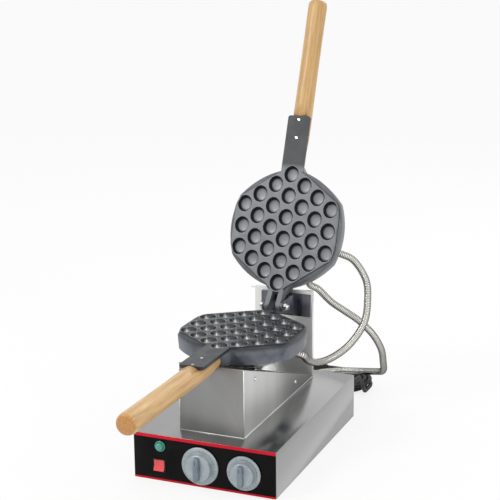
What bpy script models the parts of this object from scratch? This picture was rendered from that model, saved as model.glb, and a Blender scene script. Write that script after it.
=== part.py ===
import math

import bmesh
import bpy
from mathutils import Matrix, Vector

# Clearances that all pieces share
fit_gap = 0.0003
overrun = 0.004
round_sides = 28
small_sides = 16
pin_sides = 24
cover_sides = 40

# Base box
base_width = 0.240
base_depth = 0.376
base_height = 0.0756
sheet = 0.0013
panel_sheet = 0.0010
base_corner = 0.003

# Controls on the front panel: shares of its width and height, from the left edge and the table
lamp_place_shares = (0.191, 0.765)
switch_place_shares = (0.184, 0.337)
timer_place_shares = (0.478, 0.470)
thermostat_place_shares = (0.783, 0.467)
lamp_radius = 0.009
lamp_depth = 0.016
switch_size = 0.0216
switch_neck_inset = 0.0006
switch_depth = 0.018
timer_radius = 0.031
thermostat_radius = 0.028
dial_flange = 0.003
dial_height = 0.020
dial_stand_off = 0.0012
dial_core_share = 0.73
dial_rib_share = 0.15
dial_rib_tip_share = 0.90
shaft_radius = 0.003
works_size = 0.046
works_depth = 0.026

# Stand
riser_half_width = 0.0545
saddle_from_wood_root = 0.0066
saddle_depth = 0.0066
riser_rear_height = 0.003
riser_lip = 0.009
upright_from_rear = 0.034
upright_half_width = 0.0535
upright_over_hinge = 0.018
upright_flange = 0.006
upright_sheet = 0.002

# Hinge
hinge_from_upright = 0.047
hinge_over_base = 0.1364
open_angle = math.radians(112.2)
pin_radius = 0.004
pin_head_radius = 0.0065
pin_head_length = 0.004
eye_radius = 0.009
tongue_half_width = 0.0052
lug_width = 0.0085
lug_gap = 0.0004
ear_sheet = 0.003
ear_thickness = 0.004
nut_length = 0.0085
bracket_left = -0.040
bracket_right = 0.050
bracket_under_hinge = 0.028
bracket_over_hinge = 0.012

# Cooking halves, measured from the hinge axis
pan_radius = 0.1055
pan_from_hinge = 0.0295
pan_flat_share = 0.284
pan_depth = 0.029
pan_draft = 0.0015
rim_drop = 0.006
rim_round = 0.002
side_rim = 0.0100
slanted_rim = 0.0130
nose_rim = 0.0028
field_step = 0.0016
nose_half_width = 0.017
nose_reach = 0.0085
parting_gap = 0.0004
cup_width = 0.0268
cup_length = 0.0300
cup_depth = 0.0115
cup_pitch = 0.0379
cup_column_pitch = 0.0263
cups_in_columns = (3, 4, 5, 6, 5, 4, 3)
cup_sides = 14
cup_floor_share = 0.70
cup_knee_share = 0.86
cup_knee_depth_share = 0.72
pocket_share = 0.5877
pocket_depth = 0.009
heater_share = 0.4550
heater_tube = 0.004
cover_share = 0.7109
cover_floor_share = 0.9067
cover_depth = 0.0165
cover_sheet = 0.0012
cover_round = 0.0025

# Handles
tang_half_width = 0.020
tang_length = 0.0815
tang_thickness = 0.0055
tang_corner = 0.004
wood_from_pan = 0.0145
wood_length = 0.291
wood_radius = 0.01475
wood_axis_depth = 0.0158
wood_dome = 0.005
wood_neck_share = 0.93
wood_swell_shares = ((0.12, 1.0), (0.55, 0.97))
wood_tip_shares = ((3.0, 1.0), (1.0, 0.98), (0.35, 0.80), (0.0, 0.45))

# Wiring
hose_radius = 0.00675
hose_valley_radius = 0.0060
hose_bore_radius = 0.0044
hose_rib_pitch = 0.0085
hose_bore_step = 0.016
gland_radius = 0.0082
gland_collar_radius = 0.0076
gland_length = 0.0135
gland_nut_length = 0.0055
lower_gland_angle = math.radians(25)
upper_gland_a_angle = math.radians(18)
upper_gland_b_angle = math.radians(64)
rear_gland_place_shares = (0.575, 0.582)
cord_radius = 0.00375
cord_gland_place_shares = (0.9375, 0.608)
cord_gland_length = 0.046
cord_gland_radius = 0.009
cord_step = 0.0135
cord_lead_length = 0.015
coil_x = 0.053
coil_y = 0.331
coil_radius = 0.0500
coil_pitch = 0.0093
coil_layer_rise = 0.0085
coil_turns = 5.25
coil_points_per_turn = 24
coil_lead_in = 0.010
coil_lead_out = 0.050
floor_gap = 0.0003
plug_length = 0.034
plug_radius = 0.0105
plug_pin_length = 0.018
plug_pin_radius = 0.0024
plug_pin_spacing = 0.0095

# Places that follow from those sizes
front_y = -base_depth / 2
rear_y = base_depth / 2
base_left = -base_width / 2


def on_panel(shares):
    return base_left + shares[0] * base_width, shares[1] * base_height


lamp_x, lamp_z = on_panel(lamp_place_shares)
switch_x, switch_z = on_panel(switch_place_shares)
timer_x, timer_z = on_panel(timer_place_shares)
thermostat_x, thermostat_z = on_panel(thermostat_place_shares)
rear_gland_x, rear_gland_z = on_panel(rear_gland_place_shares)
cord_gland_x, cord_gland_z = on_panel(cord_gland_place_shares)
upright_y = rear_y - upright_from_rear
hinge_y = upright_y - hinge_from_upright
hinge_z = base_height + hinge_over_base
upright_top = hinge_z + upright_over_hinge
bracket_bottom = hinge_z - bracket_under_hinge
bracket_top = hinge_z + bracket_over_hinge
pocket_radius = pan_radius * pocket_share
heater_radius = pan_radius * heater_share
cover_radius = pan_radius * cover_share
cover_floor_radius = cover_radius * cover_floor_share
pan_centre = pan_from_hinge + pan_radius
pan_end = pan_centre + pan_radius
nose_end = pan_radius + nose_reach
field_half_width = pan_radius - side_rim
field_edge = pan_radius - slanted_rim
field_end = nose_end - nose_rim
tang_end = pan_end + tang_length
wood_start = pan_end + wood_from_pan
wood_end = wood_start + wood_length
riser_front_y = hinge_y - wood_start - saddle_from_wood_root
riser_top = hinge_z - wood_axis_depth - wood_radius + saddle_depth


# Scene and materials
for old in list(bpy.data.objects):
    bpy.data.objects.remove(old, do_unlink=True)


def finish(name, color, metallic, roughness):
    mat = bpy.data.materials.new(name)
    mat.use_nodes = True
    shader = mat.node_tree.nodes["Principled BSDF"]
    shader.inputs["Base Color"].default_value = (*color, 1.0)
    shader.inputs["Metallic"].default_value = metallic
    shader.inputs["Roughness"].default_value = roughness
    return mat


steel = finish("brushed_steel", (0.78, 0.78, 0.76), 1.0, 0.25)
dark_steel = finish("dark_steel", (0.16, 0.17, 0.18), 1.0, 0.4)
cast = finish("coated_casting", (0.14, 0.155, 0.18), 0.6, 0.5)
wood = finish("pale_wood", (0.82, 0.58, 0.33), 0.0, 0.45)
panel_black = finish("panel_black", (0.02, 0.02, 0.022), 0.0, 0.35)
red_plastic = finish("red_plastic", (0.75, 0.03, 0.03), 0.0, 0.3)
black_plastic = finish("black_plastic", (0.03, 0.03, 0.03), 0.0, 0.4)
green_lens = finish("green_lens", (0.03, 0.45, 0.32), 0.0, 0.15)
dial_silver = finish("dial_silver", (0.55, 0.60, 0.66), 0.4, 0.35)
rubber = finish("rubber", (0.02, 0.02, 0.02), 0.0, 0.7)
white_plastic = finish("white_plastic", (0.85, 0.85, 0.82), 0.0, 0.5)


# Building helpers
def put(name, bm, mat, parent=None, place=None):
    bmesh.ops.recalc_face_normals(bm, faces=bm.faces)
    mesh = bpy.data.meshes.new(name)
    bm.to_mesh(mesh)
    bm.free()
    mesh.materials.append(mat)
    obj = bpy.data.objects.new(name, mesh)
    bpy.context.scene.collection.objects.link(obj)
    if parent is not None:
        obj.parent = parent
    if place is not None:
        obj.matrix_local = place
    return obj


def smooth(obj):
    obj.data.shade_smooth()
    obj.data.set_sharp_from_angle(angle=math.radians(35))
    return obj


def loft(rings, closed=False):
    bm = bmesh.new()
    rows = [[bm.verts.new(point) for point in ring] for ring in rings]
    pairs = list(zip(rows, rows[1:]))
    if closed:
        pairs.append((rows[-1], rows[0]))
    for low, high in pairs:
        count = len(low)
        for i in range(count):
            j = (i + 1) % count
            bm.faces.new((low[i], low[j], high[j], high[i]))
    if not closed:
        bm.faces.new(rows[0])
        bm.faces.new(rows[-1])
    return bm


def ring_points(radius, z, sides, stretch=1.0, centre=(0, 0)):
    points = []
    for i in range(sides):
        turn = 2 * math.pi * i / sides
        x = centre[0] + radius * math.cos(turn)
        y = centre[1] + radius * stretch * math.sin(turn)
        points.append((x, y, z))
    return points


def turned(profile, sides, closed=False):
    return loft([ring_points(r, z, sides) for r, z in profile], closed)


def box(low, high):
    corners = ((low[0], low[1]), (high[0], low[1]), (high[0], high[1]), (low[0], high[1]))
    return loft([[(x, y, z) for x, y in corners] for z in (low[2], high[2])])


def plate_outline(half_x, half_y, corner, steps=3):
    points = []
    for k, (sx, sy) in enumerate(((1, 1), (-1, 1), (-1, -1), (1, -1))):
        for i in range(steps + 1):
            turn = math.radians(90) * (k + i / steps)
            x = sx * (half_x - corner) + corner * math.cos(turn)
            y = sy * (half_y - corner) + corner * math.sin(turn)
            points.append((x, y))
    return points


def prism(outline, low, high, axis="z"):
    rings = []
    for level in (low, high):
        if axis == "x":
            rings.append([(level, a, b) for a, b in outline])
        elif axis == "y":
            rings.append([(a, level, b) for a, b in outline])
        else:
            rings.append([(a, b, level) for a, b in outline])
    return loft(rings)


def boolean(obj, tool, kind):
    tool.hide_render = True
    tool.display_type = "WIRE"
    if tool.parent is None and obj.parent is not None:
        tool.parent = obj.parent
    mod = obj.modifiers.new(kind.lower(), "BOOLEAN")
    mod.operation = kind
    mod.solver = "EXACT"
    mod.object = tool
    return obj


def cut(obj, bm, place=None):
    tool = put(obj.name + "_cutter", bm, steel, obj.parent, place)
    return boolean(obj, tool, "DIFFERENCE")


def fuse(obj, bm, place=None):
    tool = put(obj.name + "_addition", bm, steel, obj.parent, place)
    return boolean(obj, tool, "UNION")


def empty(name, place):
    obj = bpy.data.objects.new(name, None)
    obj.matrix_world = place
    bpy.context.scene.collection.objects.link(obj)
    return obj


def along(point, direction):
    turn = Vector(direction).to_track_quat("Z", "Y").to_matrix().to_4x4()
    return Matrix.Translation(point) @ turn


def facing_front(x, y, z):
    return Matrix.Translation((x, y, z)) @ Matrix.Rotation(math.radians(90), 4, "X")


# Base box: folded shell open below, with its holes
shell_front = front_y + panel_sheet + fit_gap
shell_mid_y = (shell_front + rear_y) / 2
shell_half_y = (rear_y - shell_front) / 2
shell = put(
    "base_shell",
    prism(
        [(x, y + shell_mid_y) for x, y in plate_outline(base_width / 2, shell_half_y, base_corner)],
        0,
        base_height,
    ),
    steel,
)
inner_half_x = base_width / 2 - sheet
inner_low_y = shell_front + sheet
inner_high_y = rear_y - sheet
cut(
    shell,
    box((-inner_half_x, inner_low_y, -overrun), (inner_half_x, inner_high_y, base_height - sheet)),
)
bottom_plate = put(
    "bottom_plate",
    box(
        (-inner_half_x + fit_gap, inner_low_y + fit_gap, 0),
        (inner_half_x - fit_gap, inner_high_y - fit_gap, sheet),
    ),
    steel,
)
panel = put(
    "control_panel",
    prism(
        [(x, z + base_height / 2) for x, z in plate_outline(base_width / 2, base_height / 2, panel_sheet)],
        front_y,
        front_y + panel_sheet,
        "y",
    ),
    panel_black,
)


def panel_place(x, z, y=front_y):
    return facing_front(x, y, z)


def round_hole(obj, x, z, radius, y, depth):
    bm = turned(((radius, -depth), (radius, depth)), small_sides)
    return cut(obj, bm, panel_place(x, z, y))


lamp_neck = lamp_radius - 2 * sheet
shaft_hole = shaft_radius + sheet
wall_reach = overrun + sheet
for holder, wall_y in ((panel, front_y), (shell, shell_front)):
    round_hole(holder, lamp_x, lamp_z, lamp_neck + fit_gap, wall_y, wall_reach)
    round_hole(holder, timer_x, timer_z, shaft_hole, wall_y, wall_reach)
    round_hole(holder, thermostat_x, thermostat_z, shaft_hole, wall_y, wall_reach)
    switch_half_hole = switch_size / 2 - switch_neck_inset + fit_gap
    cut(
        holder,
        box(
            (switch_x - switch_half_hole, wall_y - wall_reach, switch_z - switch_half_hole),
            (switch_x + switch_half_hole, wall_y + wall_reach, switch_z + switch_half_hole),
        ),
    )

# Indicator lamp
lamp_flange = 0.0022
lamp_lens_radius = 0.0072
lamp_lens_height = 0.0048
lamp_front = front_y - fit_gap
lamp_lens_bore = lamp_lens_radius + fit_gap
lamp_cup = 0.0012
put_lamp = put(
    "lamp_body",
    turned(
        (
            (lamp_neck, -lamp_depth),
            (lamp_neck, 0),
            (lamp_radius, 0),
            (lamp_radius, lamp_flange - lamp_cup / 2),
            (lamp_radius - lamp_cup / 2, lamp_flange),
            (lamp_lens_bore, lamp_flange),
            (lamp_lens_bore, lamp_cup),
        ),
        small_sides,
    ),
    black_plastic,
    None,
    panel_place(lamp_x, lamp_z, lamp_front),
)
lens_bottom = lamp_cup + fit_gap
smooth(
    put(
        "lamp_lens",
        turned(
            (
                (lamp_lens_radius, lens_bottom),
                (lamp_lens_radius, lamp_flange),
                (lamp_lens_radius * math.cos(math.radians(30)), (lamp_flange + lamp_lens_height) / 2),
                (lamp_lens_radius * math.cos(math.radians(65)), lamp_lens_height),
            ),
            small_sides,
        ),
        green_lens,
        None,
        panel_place(lamp_x, lamp_z, lamp_front),
    )
)

# Rocker switch
switch_frame = 0.0012
switch_pocket = 0.010
rocker_gap = 0.0008
rocker_pivot_depth = 0.0012
rocker_bulge = 0.0040
rocker_dish = 0.0020
rocker_back = 0.0045
rocker_turn = math.radians(-9)
aperture = switch_size / 2 - switch_frame
rocker_half = aperture - rocker_gap
housing_half = switch_size / 2
neck_half = housing_half - switch_neck_inset
housing = put(
    "switch_housing",
    box(
        (switch_x - housing_half, front_y - fit_gap - switch_frame, switch_z - housing_half),
        (switch_x + housing_half, front_y - fit_gap, switch_z + housing_half),
    ),
    black_plastic,
)
fuse(
    housing,
    box(
        (switch_x - neck_half, front_y - switch_frame, switch_z - neck_half),
        (switch_x + neck_half, front_y + switch_depth, switch_z + neck_half),
    ),
)
cut(
    housing,
    box(
        (switch_x - aperture, front_y - overrun, switch_z - aperture),
        (switch_x + aperture, front_y + switch_pocket, switch_z + aperture),
    ),
)
rocker_pivot_y = front_y + rocker_pivot_depth
rocker_axis = empty("rocker_axis", Matrix.Translation((switch_x, rocker_pivot_y, switch_z)))
rocker = put(
    "rocker",
    prism(
        (
            (-rocker_bulge - rocker_pivot_depth, rocker_half),
            (-rocker_dish - rocker_pivot_depth, 0),
            (-rocker_bulge - rocker_pivot_depth, -rocker_half),
            (0, -rocker_half),
            (rocker_back, -rocker_half / 2),
            (rocker_back, rocker_half / 2),
            (0, rocker_half),
        ),
        -rocker_half,
        rocker_half,
        "x",
    ),
    red_plastic,
    rocker_axis,
    Matrix.Rotation(rocker_turn, 4, "X"),
)


# Dials, their shafts and the works behind the panel
def dial(name, x, z, radius):
    place = panel_place(x, z, front_y - dial_stand_off)
    axis = empty(name + "_axis", place)
    core = radius * dial_core_share
    rib_half = radius * dial_rib_share
    rib_rise = dial_flange
    body = put(
        name + "_dial",
        turned(
            (
                (radius, 0),
                (radius, dial_flange - dial_stand_off),
                (radius - dial_stand_off, dial_flange),
                (core, dial_flange),
                (core - dial_stand_off, dial_height - rib_rise - dial_stand_off),
                (core - 2 * dial_stand_off, dial_height - rib_rise),
            ),
            round_sides,
        ),
        dial_silver,
        axis,
    )
    rib_reach = core - 2 * dial_stand_off
    rib_tip = rib_reach * dial_rib_tip_share
    fuse(
        body,
        loft(
            (
                [(-rib_half, -rib_reach, dial_flange), (rib_half, -rib_reach, dial_flange),
                 (rib_half, rib_reach, dial_flange), (-rib_half, rib_reach, dial_flange)],
                [(-rib_half / 2, -rib_tip, dial_height), (rib_half / 2, -rib_tip, dial_height),
                 (rib_half / 2, rib_tip, dial_height), (-rib_half / 2, rib_tip, dial_height)],
            )
        ),
    )
    shaft_tip = dial_height / 2
    bore = shaft_radius + fit_gap
    cut(body, turned(((bore, -overrun), (bore, shaft_tip + fit_gap)), small_sides))
    works_face = shell_front + sheet + fit_gap
    shaft_back = -(works_face - front_y + dial_stand_off) - dial_height / 2
    put(
        name + "_shaft",
        turned(((shaft_radius, shaft_back), (shaft_radius, shaft_tip)), small_sides),
        steel,
        axis,
    )
    works = put(
        name + "_works",
        box(
            (x - works_size / 2, works_face, z - works_size / 2),
            (x + works_size / 2, works_face + works_depth, z + works_size / 2),
        ),
        steel,
    )
    cut(
        works,
        turned(((bore, shaft_back - fit_gap), (bore, overrun)), small_sides),
        place,
    )
    return body


dial("timer", timer_x, timer_z, timer_radius)
dial("thermostat", thermostat_x, thermostat_z, thermostat_radius)

# Terminal block on the bottom plate
block_length = 0.060
block_width = 0.022
block_height = 0.018
put(
    "terminal_block",
    box(
        (-block_length / 2, 0, sheet + fit_gap),
        (block_length / 2, block_width, sheet + fit_gap + block_height),
    ),
    white_plastic,
)

# Riser: folded wedge with lips, open on top
riser_floor = base_height + fit_gap
riser_rear_y = upright_y - fit_gap
riser_low = riser_floor + riser_rear_height
riser = put(
    "riser",
    prism(
        (
            (riser_front_y, riser_floor),
            (riser_rear_y, riser_floor),
            (riser_rear_y, riser_low),
            (riser_front_y, riser_top),
        ),
        -riser_half_width,
        riser_half_width,
        "x",
    ),
    steel,
)
riser_slope = (riser_top - riser_low) / (riser_rear_y - riser_front_y)
inner_front = riser_front_y + sheet
inner_rear = riser_rear_y + overrun
inner_top = riser_top - sheet - riser_slope * sheet
inner_rear_top = inner_top - riser_slope * (inner_rear - inner_front)
trough_half = riser_half_width - sheet
cut(
    riser,
    prism(
        (
            (inner_front, riser_floor - overrun),
            (inner_rear, riser_floor - overrun),
            (inner_rear, inner_rear_top),
            (inner_front, inner_top),
        ),
        -trough_half,
        trough_half,
        "x",
    ),
)
mouth_half = riser_half_width - riser_lip
cut(
    riser,
    box(
        (-mouth_half, inner_front, riser_floor),
        (mouth_half, inner_rear, riser_top + overrun),
    ),
)
handle_axis_z = hinge_z - wood_axis_depth
saddle_radius = wood_radius + fit_gap
cut(
    riser,
    turned(((saddle_radius, -riser_lip), (saddle_radius, riser_lip)), round_sides),
    facing_front(0, riser_front_y, handle_axis_z),
)

# Upright: plate with flanges turned to the rear
upright_back = upright_y + upright_flange
upright = put(
    "upright",
    box(
        (-upright_half_width, upright_y, riser_floor),
        (upright_half_width, upright_back, upright_top),
    ),
    steel,
)
cut(
    upright,
    box(
        (
            -upright_half_width + upright_sheet,
            upright_y + upright_sheet,
            riser_floor + upright_sheet,
        ),
        (
            upright_half_width - upright_sheet,
            upright_back + overrun,
            upright_top - upright_sheet,
        ),
    ),
)
catch_length = 0.008
catch_radius = 0.0015
catch_z = upright_top - 2 * catch_radius
catch_y = upright_y + upright_flange / 2
fuse(
    upright,
    turned(((catch_radius, -upright_sheet), (catch_radius, catch_length)), small_sides),
    along((-upright_half_width, catch_y, catch_z), (-1, 0, 0)),
)

# Hinge bracket, pin and nut
lug_inner = tongue_half_width + lug_gap
lug_outer = lug_inner + lug_width
ear_inner = lug_outer + lug_gap
ear_outer = ear_inner + ear_thickness
plate_back = upright_y - fit_gap
plate_front = plate_back - ear_sheet
bracket = put(
    "hinge_bracket",
    box(
        (bracket_left, plate_front, bracket_bottom),
        (bracket_right, plate_back, bracket_top),
    ),
    dark_steel,
)
eye_steps = 10


def eye_outline(radius, reach_y, low_z, high_z, facing, foot_y=None):
    points = [(reach_y, low_z)]
    for i in range(eye_steps + 1):
        turn = math.radians(-90) + math.radians(180) * i / eye_steps
        points.append((facing * radius * math.cos(turn), radius * math.sin(turn)))
    if foot_y is not None:
        points.append((foot_y, high_z))
    points.append((reach_y, high_z))
    return points


for side in (-1, 1):
    low_x = min(side * ear_inner, side * ear_outer)
    high_x = max(side * ear_inner, side * ear_outer)
    ear = [
        (hinge_y + y, hinge_z + z)
        for y, z in eye_outline(
            eye_radius,
            plate_front + ear_sheet / 2 - hinge_y,
            bracket_bottom + ear_sheet - hinge_z,
            eye_radius,
            -1,
        )
    ]
    fuse(bracket, prism(ear, low_x, high_x, "x"))
pin_hole = pin_radius + fit_gap
hinge_place = along((0, hinge_y, hinge_z), (1, 0, 0))
hole_reach = ear_outer + overrun
cut(bracket, turned(((pin_hole, -hole_reach), (pin_hole, hole_reach)), pin_sides), hinge_place)
pin_start = ear_outer + fit_gap
pin_end = ear_outer + fit_gap + nut_length + sheet
put(
    "hinge_pin",
    turned(
        (
            (pin_head_radius, -pin_start - pin_head_length),
            (pin_head_radius, -pin_start),
            (pin_radius, -pin_start),
            (pin_radius, pin_end),
        ),
        pin_sides,
    ),
    steel,
    None,
    hinge_place,
)
nut = put(
    "pin_nut",
    turned(((pin_head_radius, pin_start), (pin_head_radius, pin_start + nut_length)), 6),
    steel,
    None,
    hinge_place,
)
cut(nut, turned(((pin_hole, 0), (pin_hole, pin_end + overrun)), pin_sides), hinge_place)

# Frames of the two cooking halves: x across, -y towards the handle, z = 0 the parting plane
lower_frame = empty("lower_half_frame", Matrix.Translation((0, hinge_y, hinge_z)))
upper_frame = empty(
    "upper_half_frame",
    Matrix.Translation((0, hinge_y, hinge_z))
    @ Matrix.Rotation(-open_angle, 4, "X")
    @ Matrix.Rotation(math.radians(180), 4, "Y"),
)
outline_steps = 60
cup_slope = math.atan2(cup_pitch / 2, cup_column_pitch)


def pan_edge(turn):
    sixth = math.radians(60)
    off = (turn - math.radians(90) + sixth / 2) % sixth - sixth / 2
    flat = pan_radius * math.cos(sixth / 2) / math.cos(off - math.copysign(sixth / 2, off))
    round_edge = pan_flat_share * flat + (1 - pan_flat_share) * pan_radius
    across = max(abs(math.cos(turn)), 1e-9)
    nose = min(nose_half_width / across, nose_end / max(abs(math.sin(turn)), 1e-9))
    return max(round_edge, nose)


def field_radius(turn):
    across = max(abs(math.cos(turn)), 1e-9)
    fore = max(abs(math.sin(turn)), 1e-9)
    side = field_half_width / across
    slant = field_edge / (math.sin(cup_slope) * across + math.cos(cup_slope) * fore)
    return min(side, slant, field_end / fore, pan_edge(turn) - rim_round - field_step / 2)


def pan_ring(radius_of, z, change=0):
    points = []
    for i in range(outline_steps):
        turn = 2 * math.pi * i / outline_steps
        r = radius_of(turn) + change
        points.append((r * math.cos(turn), -pan_centre + r * math.sin(turn), z))
    return points


field_z = -parting_gap / 2


def cup_centres():
    centres = []
    middle = len(cups_in_columns) // 2
    for column, count in enumerate(cups_in_columns):
        x = (column - middle) * cup_column_pitch
        for row in range(count):
            centres.append((x, -pan_centre + (row - (count - 1) / 2) * cup_pitch))
    return centres


def cup_cutters():
    bm = bmesh.new()
    stretch = cup_length / cup_width
    knee_z = field_z - cup_depth * cup_knee_depth_share
    levels = (
        (cup_width / 2, overrun),
        (cup_width / 2, field_z),
        (cup_width / 2 * cup_knee_share, knee_z),
        (cup_width / 2 * cup_floor_share, field_z - cup_depth),
    )
    for centre in cup_centres():
        rows = []
        for radius, z in levels:
            ring = ring_points(radius, z, cup_sides, stretch, centre)
            rows.append([bm.verts.new(p) for p in ring])
        for low, high in zip(rows, rows[1:]):
            for i in range(cup_sides):
                j = (i + 1) % cup_sides
                bm.faces.new((low[i], low[j], high[j], high[i]))
        bm.faces.new(rows[0])
        bm.faces.new(rows[-1])
    return bm


def half_point(angle, radius, z, side):
    return Vector((side * radius * math.cos(angle), -pan_centre + radius * math.sin(angle), z))


cover_top = -pan_depth - fit_gap
cover_bottom = -pan_depth - cover_depth
cover_lean = math.atan2(cover_radius - cover_floor_radius, cover_depth)


def gland_seat(angle, side):
    depth_share = 0.5
    radius = cover_radius + (cover_floor_radius - cover_radius) * depth_share
    z = cover_top - cover_depth * depth_share
    point = half_point(angle, radius, z, side)
    lean = math.cos(cover_lean)
    direction = Vector(
        (side * math.cos(angle) * lean, math.sin(angle) * lean, -math.sin(cover_lean))
    )
    return point + direction * 2 * fit_gap, direction


def gland_profile(length, nut_length, nut_radius, collar_radius):
    return (
        (nut_radius, 0),
        (nut_radius, nut_length),
        (collar_radius, nut_length + sheet / 2),
        (collar_radius, length - sheet),
        (collar_radius - sheet, length),
    )


def half(prefix, frame, ears, gland_angles, side):
    pan = put(
        prefix + "_pan",
        loft(
            (
                pan_ring(pan_edge, -pan_depth, -pan_draft),
                pan_ring(pan_edge, -rim_drop),
                pan_ring(pan_edge, -rim_drop + rim_round, -rim_round),
                pan_ring(field_radius, field_z - field_step, field_step / 2),
                pan_ring(field_radius, field_z),
            )
        ),
        cast,
        frame,
    )
    root_y = -pan_centre + nose_end - 2 * overrun
    foot_y = -pan_centre + field_end + fit_gap
    arm = eye_outline(eye_radius, root_y, -2 * eye_radius, field_z, 1, foot_y)
    for low_x, high_x in ears:
        fuse(pan, prism(arm, low_x, high_x, "x"))
    tang_root = -pan_centre - nose_end + 4 * overrun
    tang_mid = (tang_root - tang_end) / 2
    tang_half = (tang_root + tang_end) / 2
    tang = [(x, y + tang_mid) for x, y in plate_outline(tang_half_width, tang_half, tang_corner)]
    fuse(pan, prism(tang, -tang_thickness, field_z))
    cut(pan, cup_cutters())
    centre = Matrix.Translation((0, -pan_centre, 0))
    pocket = turned(
        ((pocket_radius, -pan_depth - overrun), (pocket_radius, -pan_depth + pocket_depth)), round_sides
    )
    cut(pan, pocket, centre)
    hole = turned(((pin_hole, -hole_reach), (pin_hole, hole_reach)), pin_sides)
    cut(pan, hole, along((0, 0, 0), (1, 0, 0)))

    inside = cover_radius - cover_sheet
    inside_floor = cover_floor_radius - cover_sheet
    cover = turned(
        (
            (inside_floor - cover_round, cover_bottom + cover_sheet),
            (inside_floor + cover_round / 3, cover_bottom + cover_round + cover_sheet / 2),
            (inside, cover_top),
            (cover_radius, cover_top),
            (cover_floor_radius + cover_round / 3, cover_bottom + cover_round),
            (cover_floor_radius - cover_round, cover_bottom),
        ),
        cover_sides,
    )
    smooth(put(prefix + "_cover", cover, steel, frame, centre))

    heater_z = -pan_depth + pocket_depth - fit_gap - heater_tube
    curve = bpy.data.curves.new(prefix + "_heater", "CURVE")
    curve.dimensions = "3D"
    curve.bevel_depth = heater_tube
    curve.bevel_resolution = 2
    curve.use_fill_caps = True
    curve.render_resolution_u = 0
    spline = curve.splines.new("POLY")
    steps = 24
    spline.points.add(steps)
    for i in range(steps + 1):
        turn = math.radians(100) + math.radians(340) * i / steps
        x = heater_radius * math.cos(turn)
        y = -pan_centre + heater_radius * math.sin(turn)
        spline.points[i].co = (x, y, heater_z, 1)
    curve.materials.append(dark_steel)
    heater = bpy.data.objects.new(prefix + "_heater", curve)
    bpy.context.scene.collection.objects.link(heater)
    heater.parent = frame

    neck = wood_radius * wood_neck_share
    stations = [(-wood_start, neck - sheet), (-wood_start - sheet, neck)]
    for along_share, radius_share in wood_swell_shares:
        stations.append((-wood_start - wood_length * along_share, wood_radius * radius_share))
    for dome_share, radius_share in wood_tip_shares:
        stations.append((-wood_end + wood_dome * dome_share, wood_radius * radius_share))
    rings = []
    for y, r in stations:
        ring = []
        for i in range(pin_sides):
            turn = 2 * math.pi * i / pin_sides
            ring.append((r * math.cos(turn), y, -wood_axis_depth + r * math.sin(turn)))
        rings.append(ring)
    handle = smooth(put(prefix + "_handle", loft(rings), wood, frame))
    seat_low = -tang_thickness - fit_gap
    cut(
        handle,
        box(
            (-tang_half_width - overrun, -tang_end - fit_gap, seat_low),
            (tang_half_width + overrun, -wood_start + overrun, overrun),
        ),
    )

    ends = []
    for label, angle in gland_angles:
        point, direction = gland_seat(angle, side)
        gland = turned(
            gland_profile(gland_length, gland_nut_length, gland_radius, gland_collar_radius), small_sides
        )
        place = along(point, direction)
        put(prefix + "_gland" + label, gland, steel, frame, place)
        world = frame.matrix_world
        tip = world @ (point + direction * (gland_length + fit_gap))
        ends.append((tip, (world.to_3x3() @ direction).normalized()))
    return ends


bpy.context.view_layer.update()
tongue = ((-tongue_half_width, tongue_half_width),)
lugs = ((-lug_outer, -lug_inner), (lug_inner, lug_outer))
lower_ends = half("lower", lower_frame, tongue, (("", lower_gland_angle),), 1)
upper_ends = half(
    "upper", upper_frame, lugs, (("_a", upper_gland_a_angle), ("_b", upper_gland_b_angle)), -1
)

# Glands on the base's rear wall
rear_face = rear_y + fit_gap


def wall_gland(name, x, z, length, nut_length, nut_radius, collar_radius, mat):
    place = along((x, rear_face, z), (0, 1, 0))
    shank = collar_radius - sheet
    profile = ((shank, -wall_reach - overrun),) + ((shank, 0),) + gland_profile(
        length, nut_length, nut_radius, collar_radius
    )
    gland = put(name, turned(profile, small_sides), mat, None, place)
    hole = turned(((shank + fit_gap, -wall_reach), (shank + fit_gap, overrun)), small_sides)
    cut(shell, hole, place)
    return gland


wall_gland(
    "base_gland",
    rear_gland_x,
    rear_gland_z,
    gland_length,
    gland_nut_length,
    gland_radius,
    gland_collar_radius,
    steel,
)
wall_gland(
    "cord_gland",
    cord_gland_x,
    cord_gland_z,
    cord_gland_length,
    gland_nut_length * 2,
    cord_gland_radius,
    cord_gland_radius * 0.75,
    black_plastic,
)


# Smooth curve through route points
def smooth_route(points, steps=14):
    count = len(points)
    times = [0.0]
    for a, b in zip(points, points[1:]):
        times.append(times[-1] + math.sqrt((b - a).length))
    gaps = [b - a for a, b in zip(times, times[1:])]
    slopes = [(points[1] - points[0]) / gaps[0]]
    for i in range(1, count - 1):
        before = (points[i] - points[i - 1]) / gaps[i - 1]
        after = (points[i + 1] - points[i]) / gaps[i]
        slopes.append((before * gaps[i] + after * gaps[i - 1]) / (gaps[i] + gaps[i - 1]))
    slopes.append((points[-1] - points[-2]) / gaps[-1])
    slopes[1] = slopes[0]
    slopes[-2] = slopes[-1]
    out = []
    for i in range(count - 1):
        for k in range(steps):
            s = k / steps
            keep = (2 * s ** 3 - 3 * s ** 2 + 1) * points[i]
            keep += (s ** 3 - 2 * s ** 2 + s) * gaps[i] * slopes[i]
            keep += (-2 * s ** 3 + 3 * s ** 2) * points[i + 1]
            keep += (s ** 3 - s ** 2) * gaps[i] * slopes[i + 1]
            out.append(keep)
    out.append(points[-1])
    return out


def spaced(points, step):
    marks = [0.0]
    for a, b in zip(points, points[1:]):
        marks.append(marks[-1] + (b - a).length)
    count = max(2, round(marks[-1] / step))
    out = []
    k = 0
    for i in range(count + 1):
        want = marks[-1] * i / count
        while k < len(marks) - 2 and marks[k + 1] < want:
            k += 1
        share = (want - marks[k]) / (marks[k + 1] - marks[k])
        out.append(points[k].lerp(points[k + 1], min(1.0, max(0.0, share))))
    return out, marks[-1]


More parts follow.
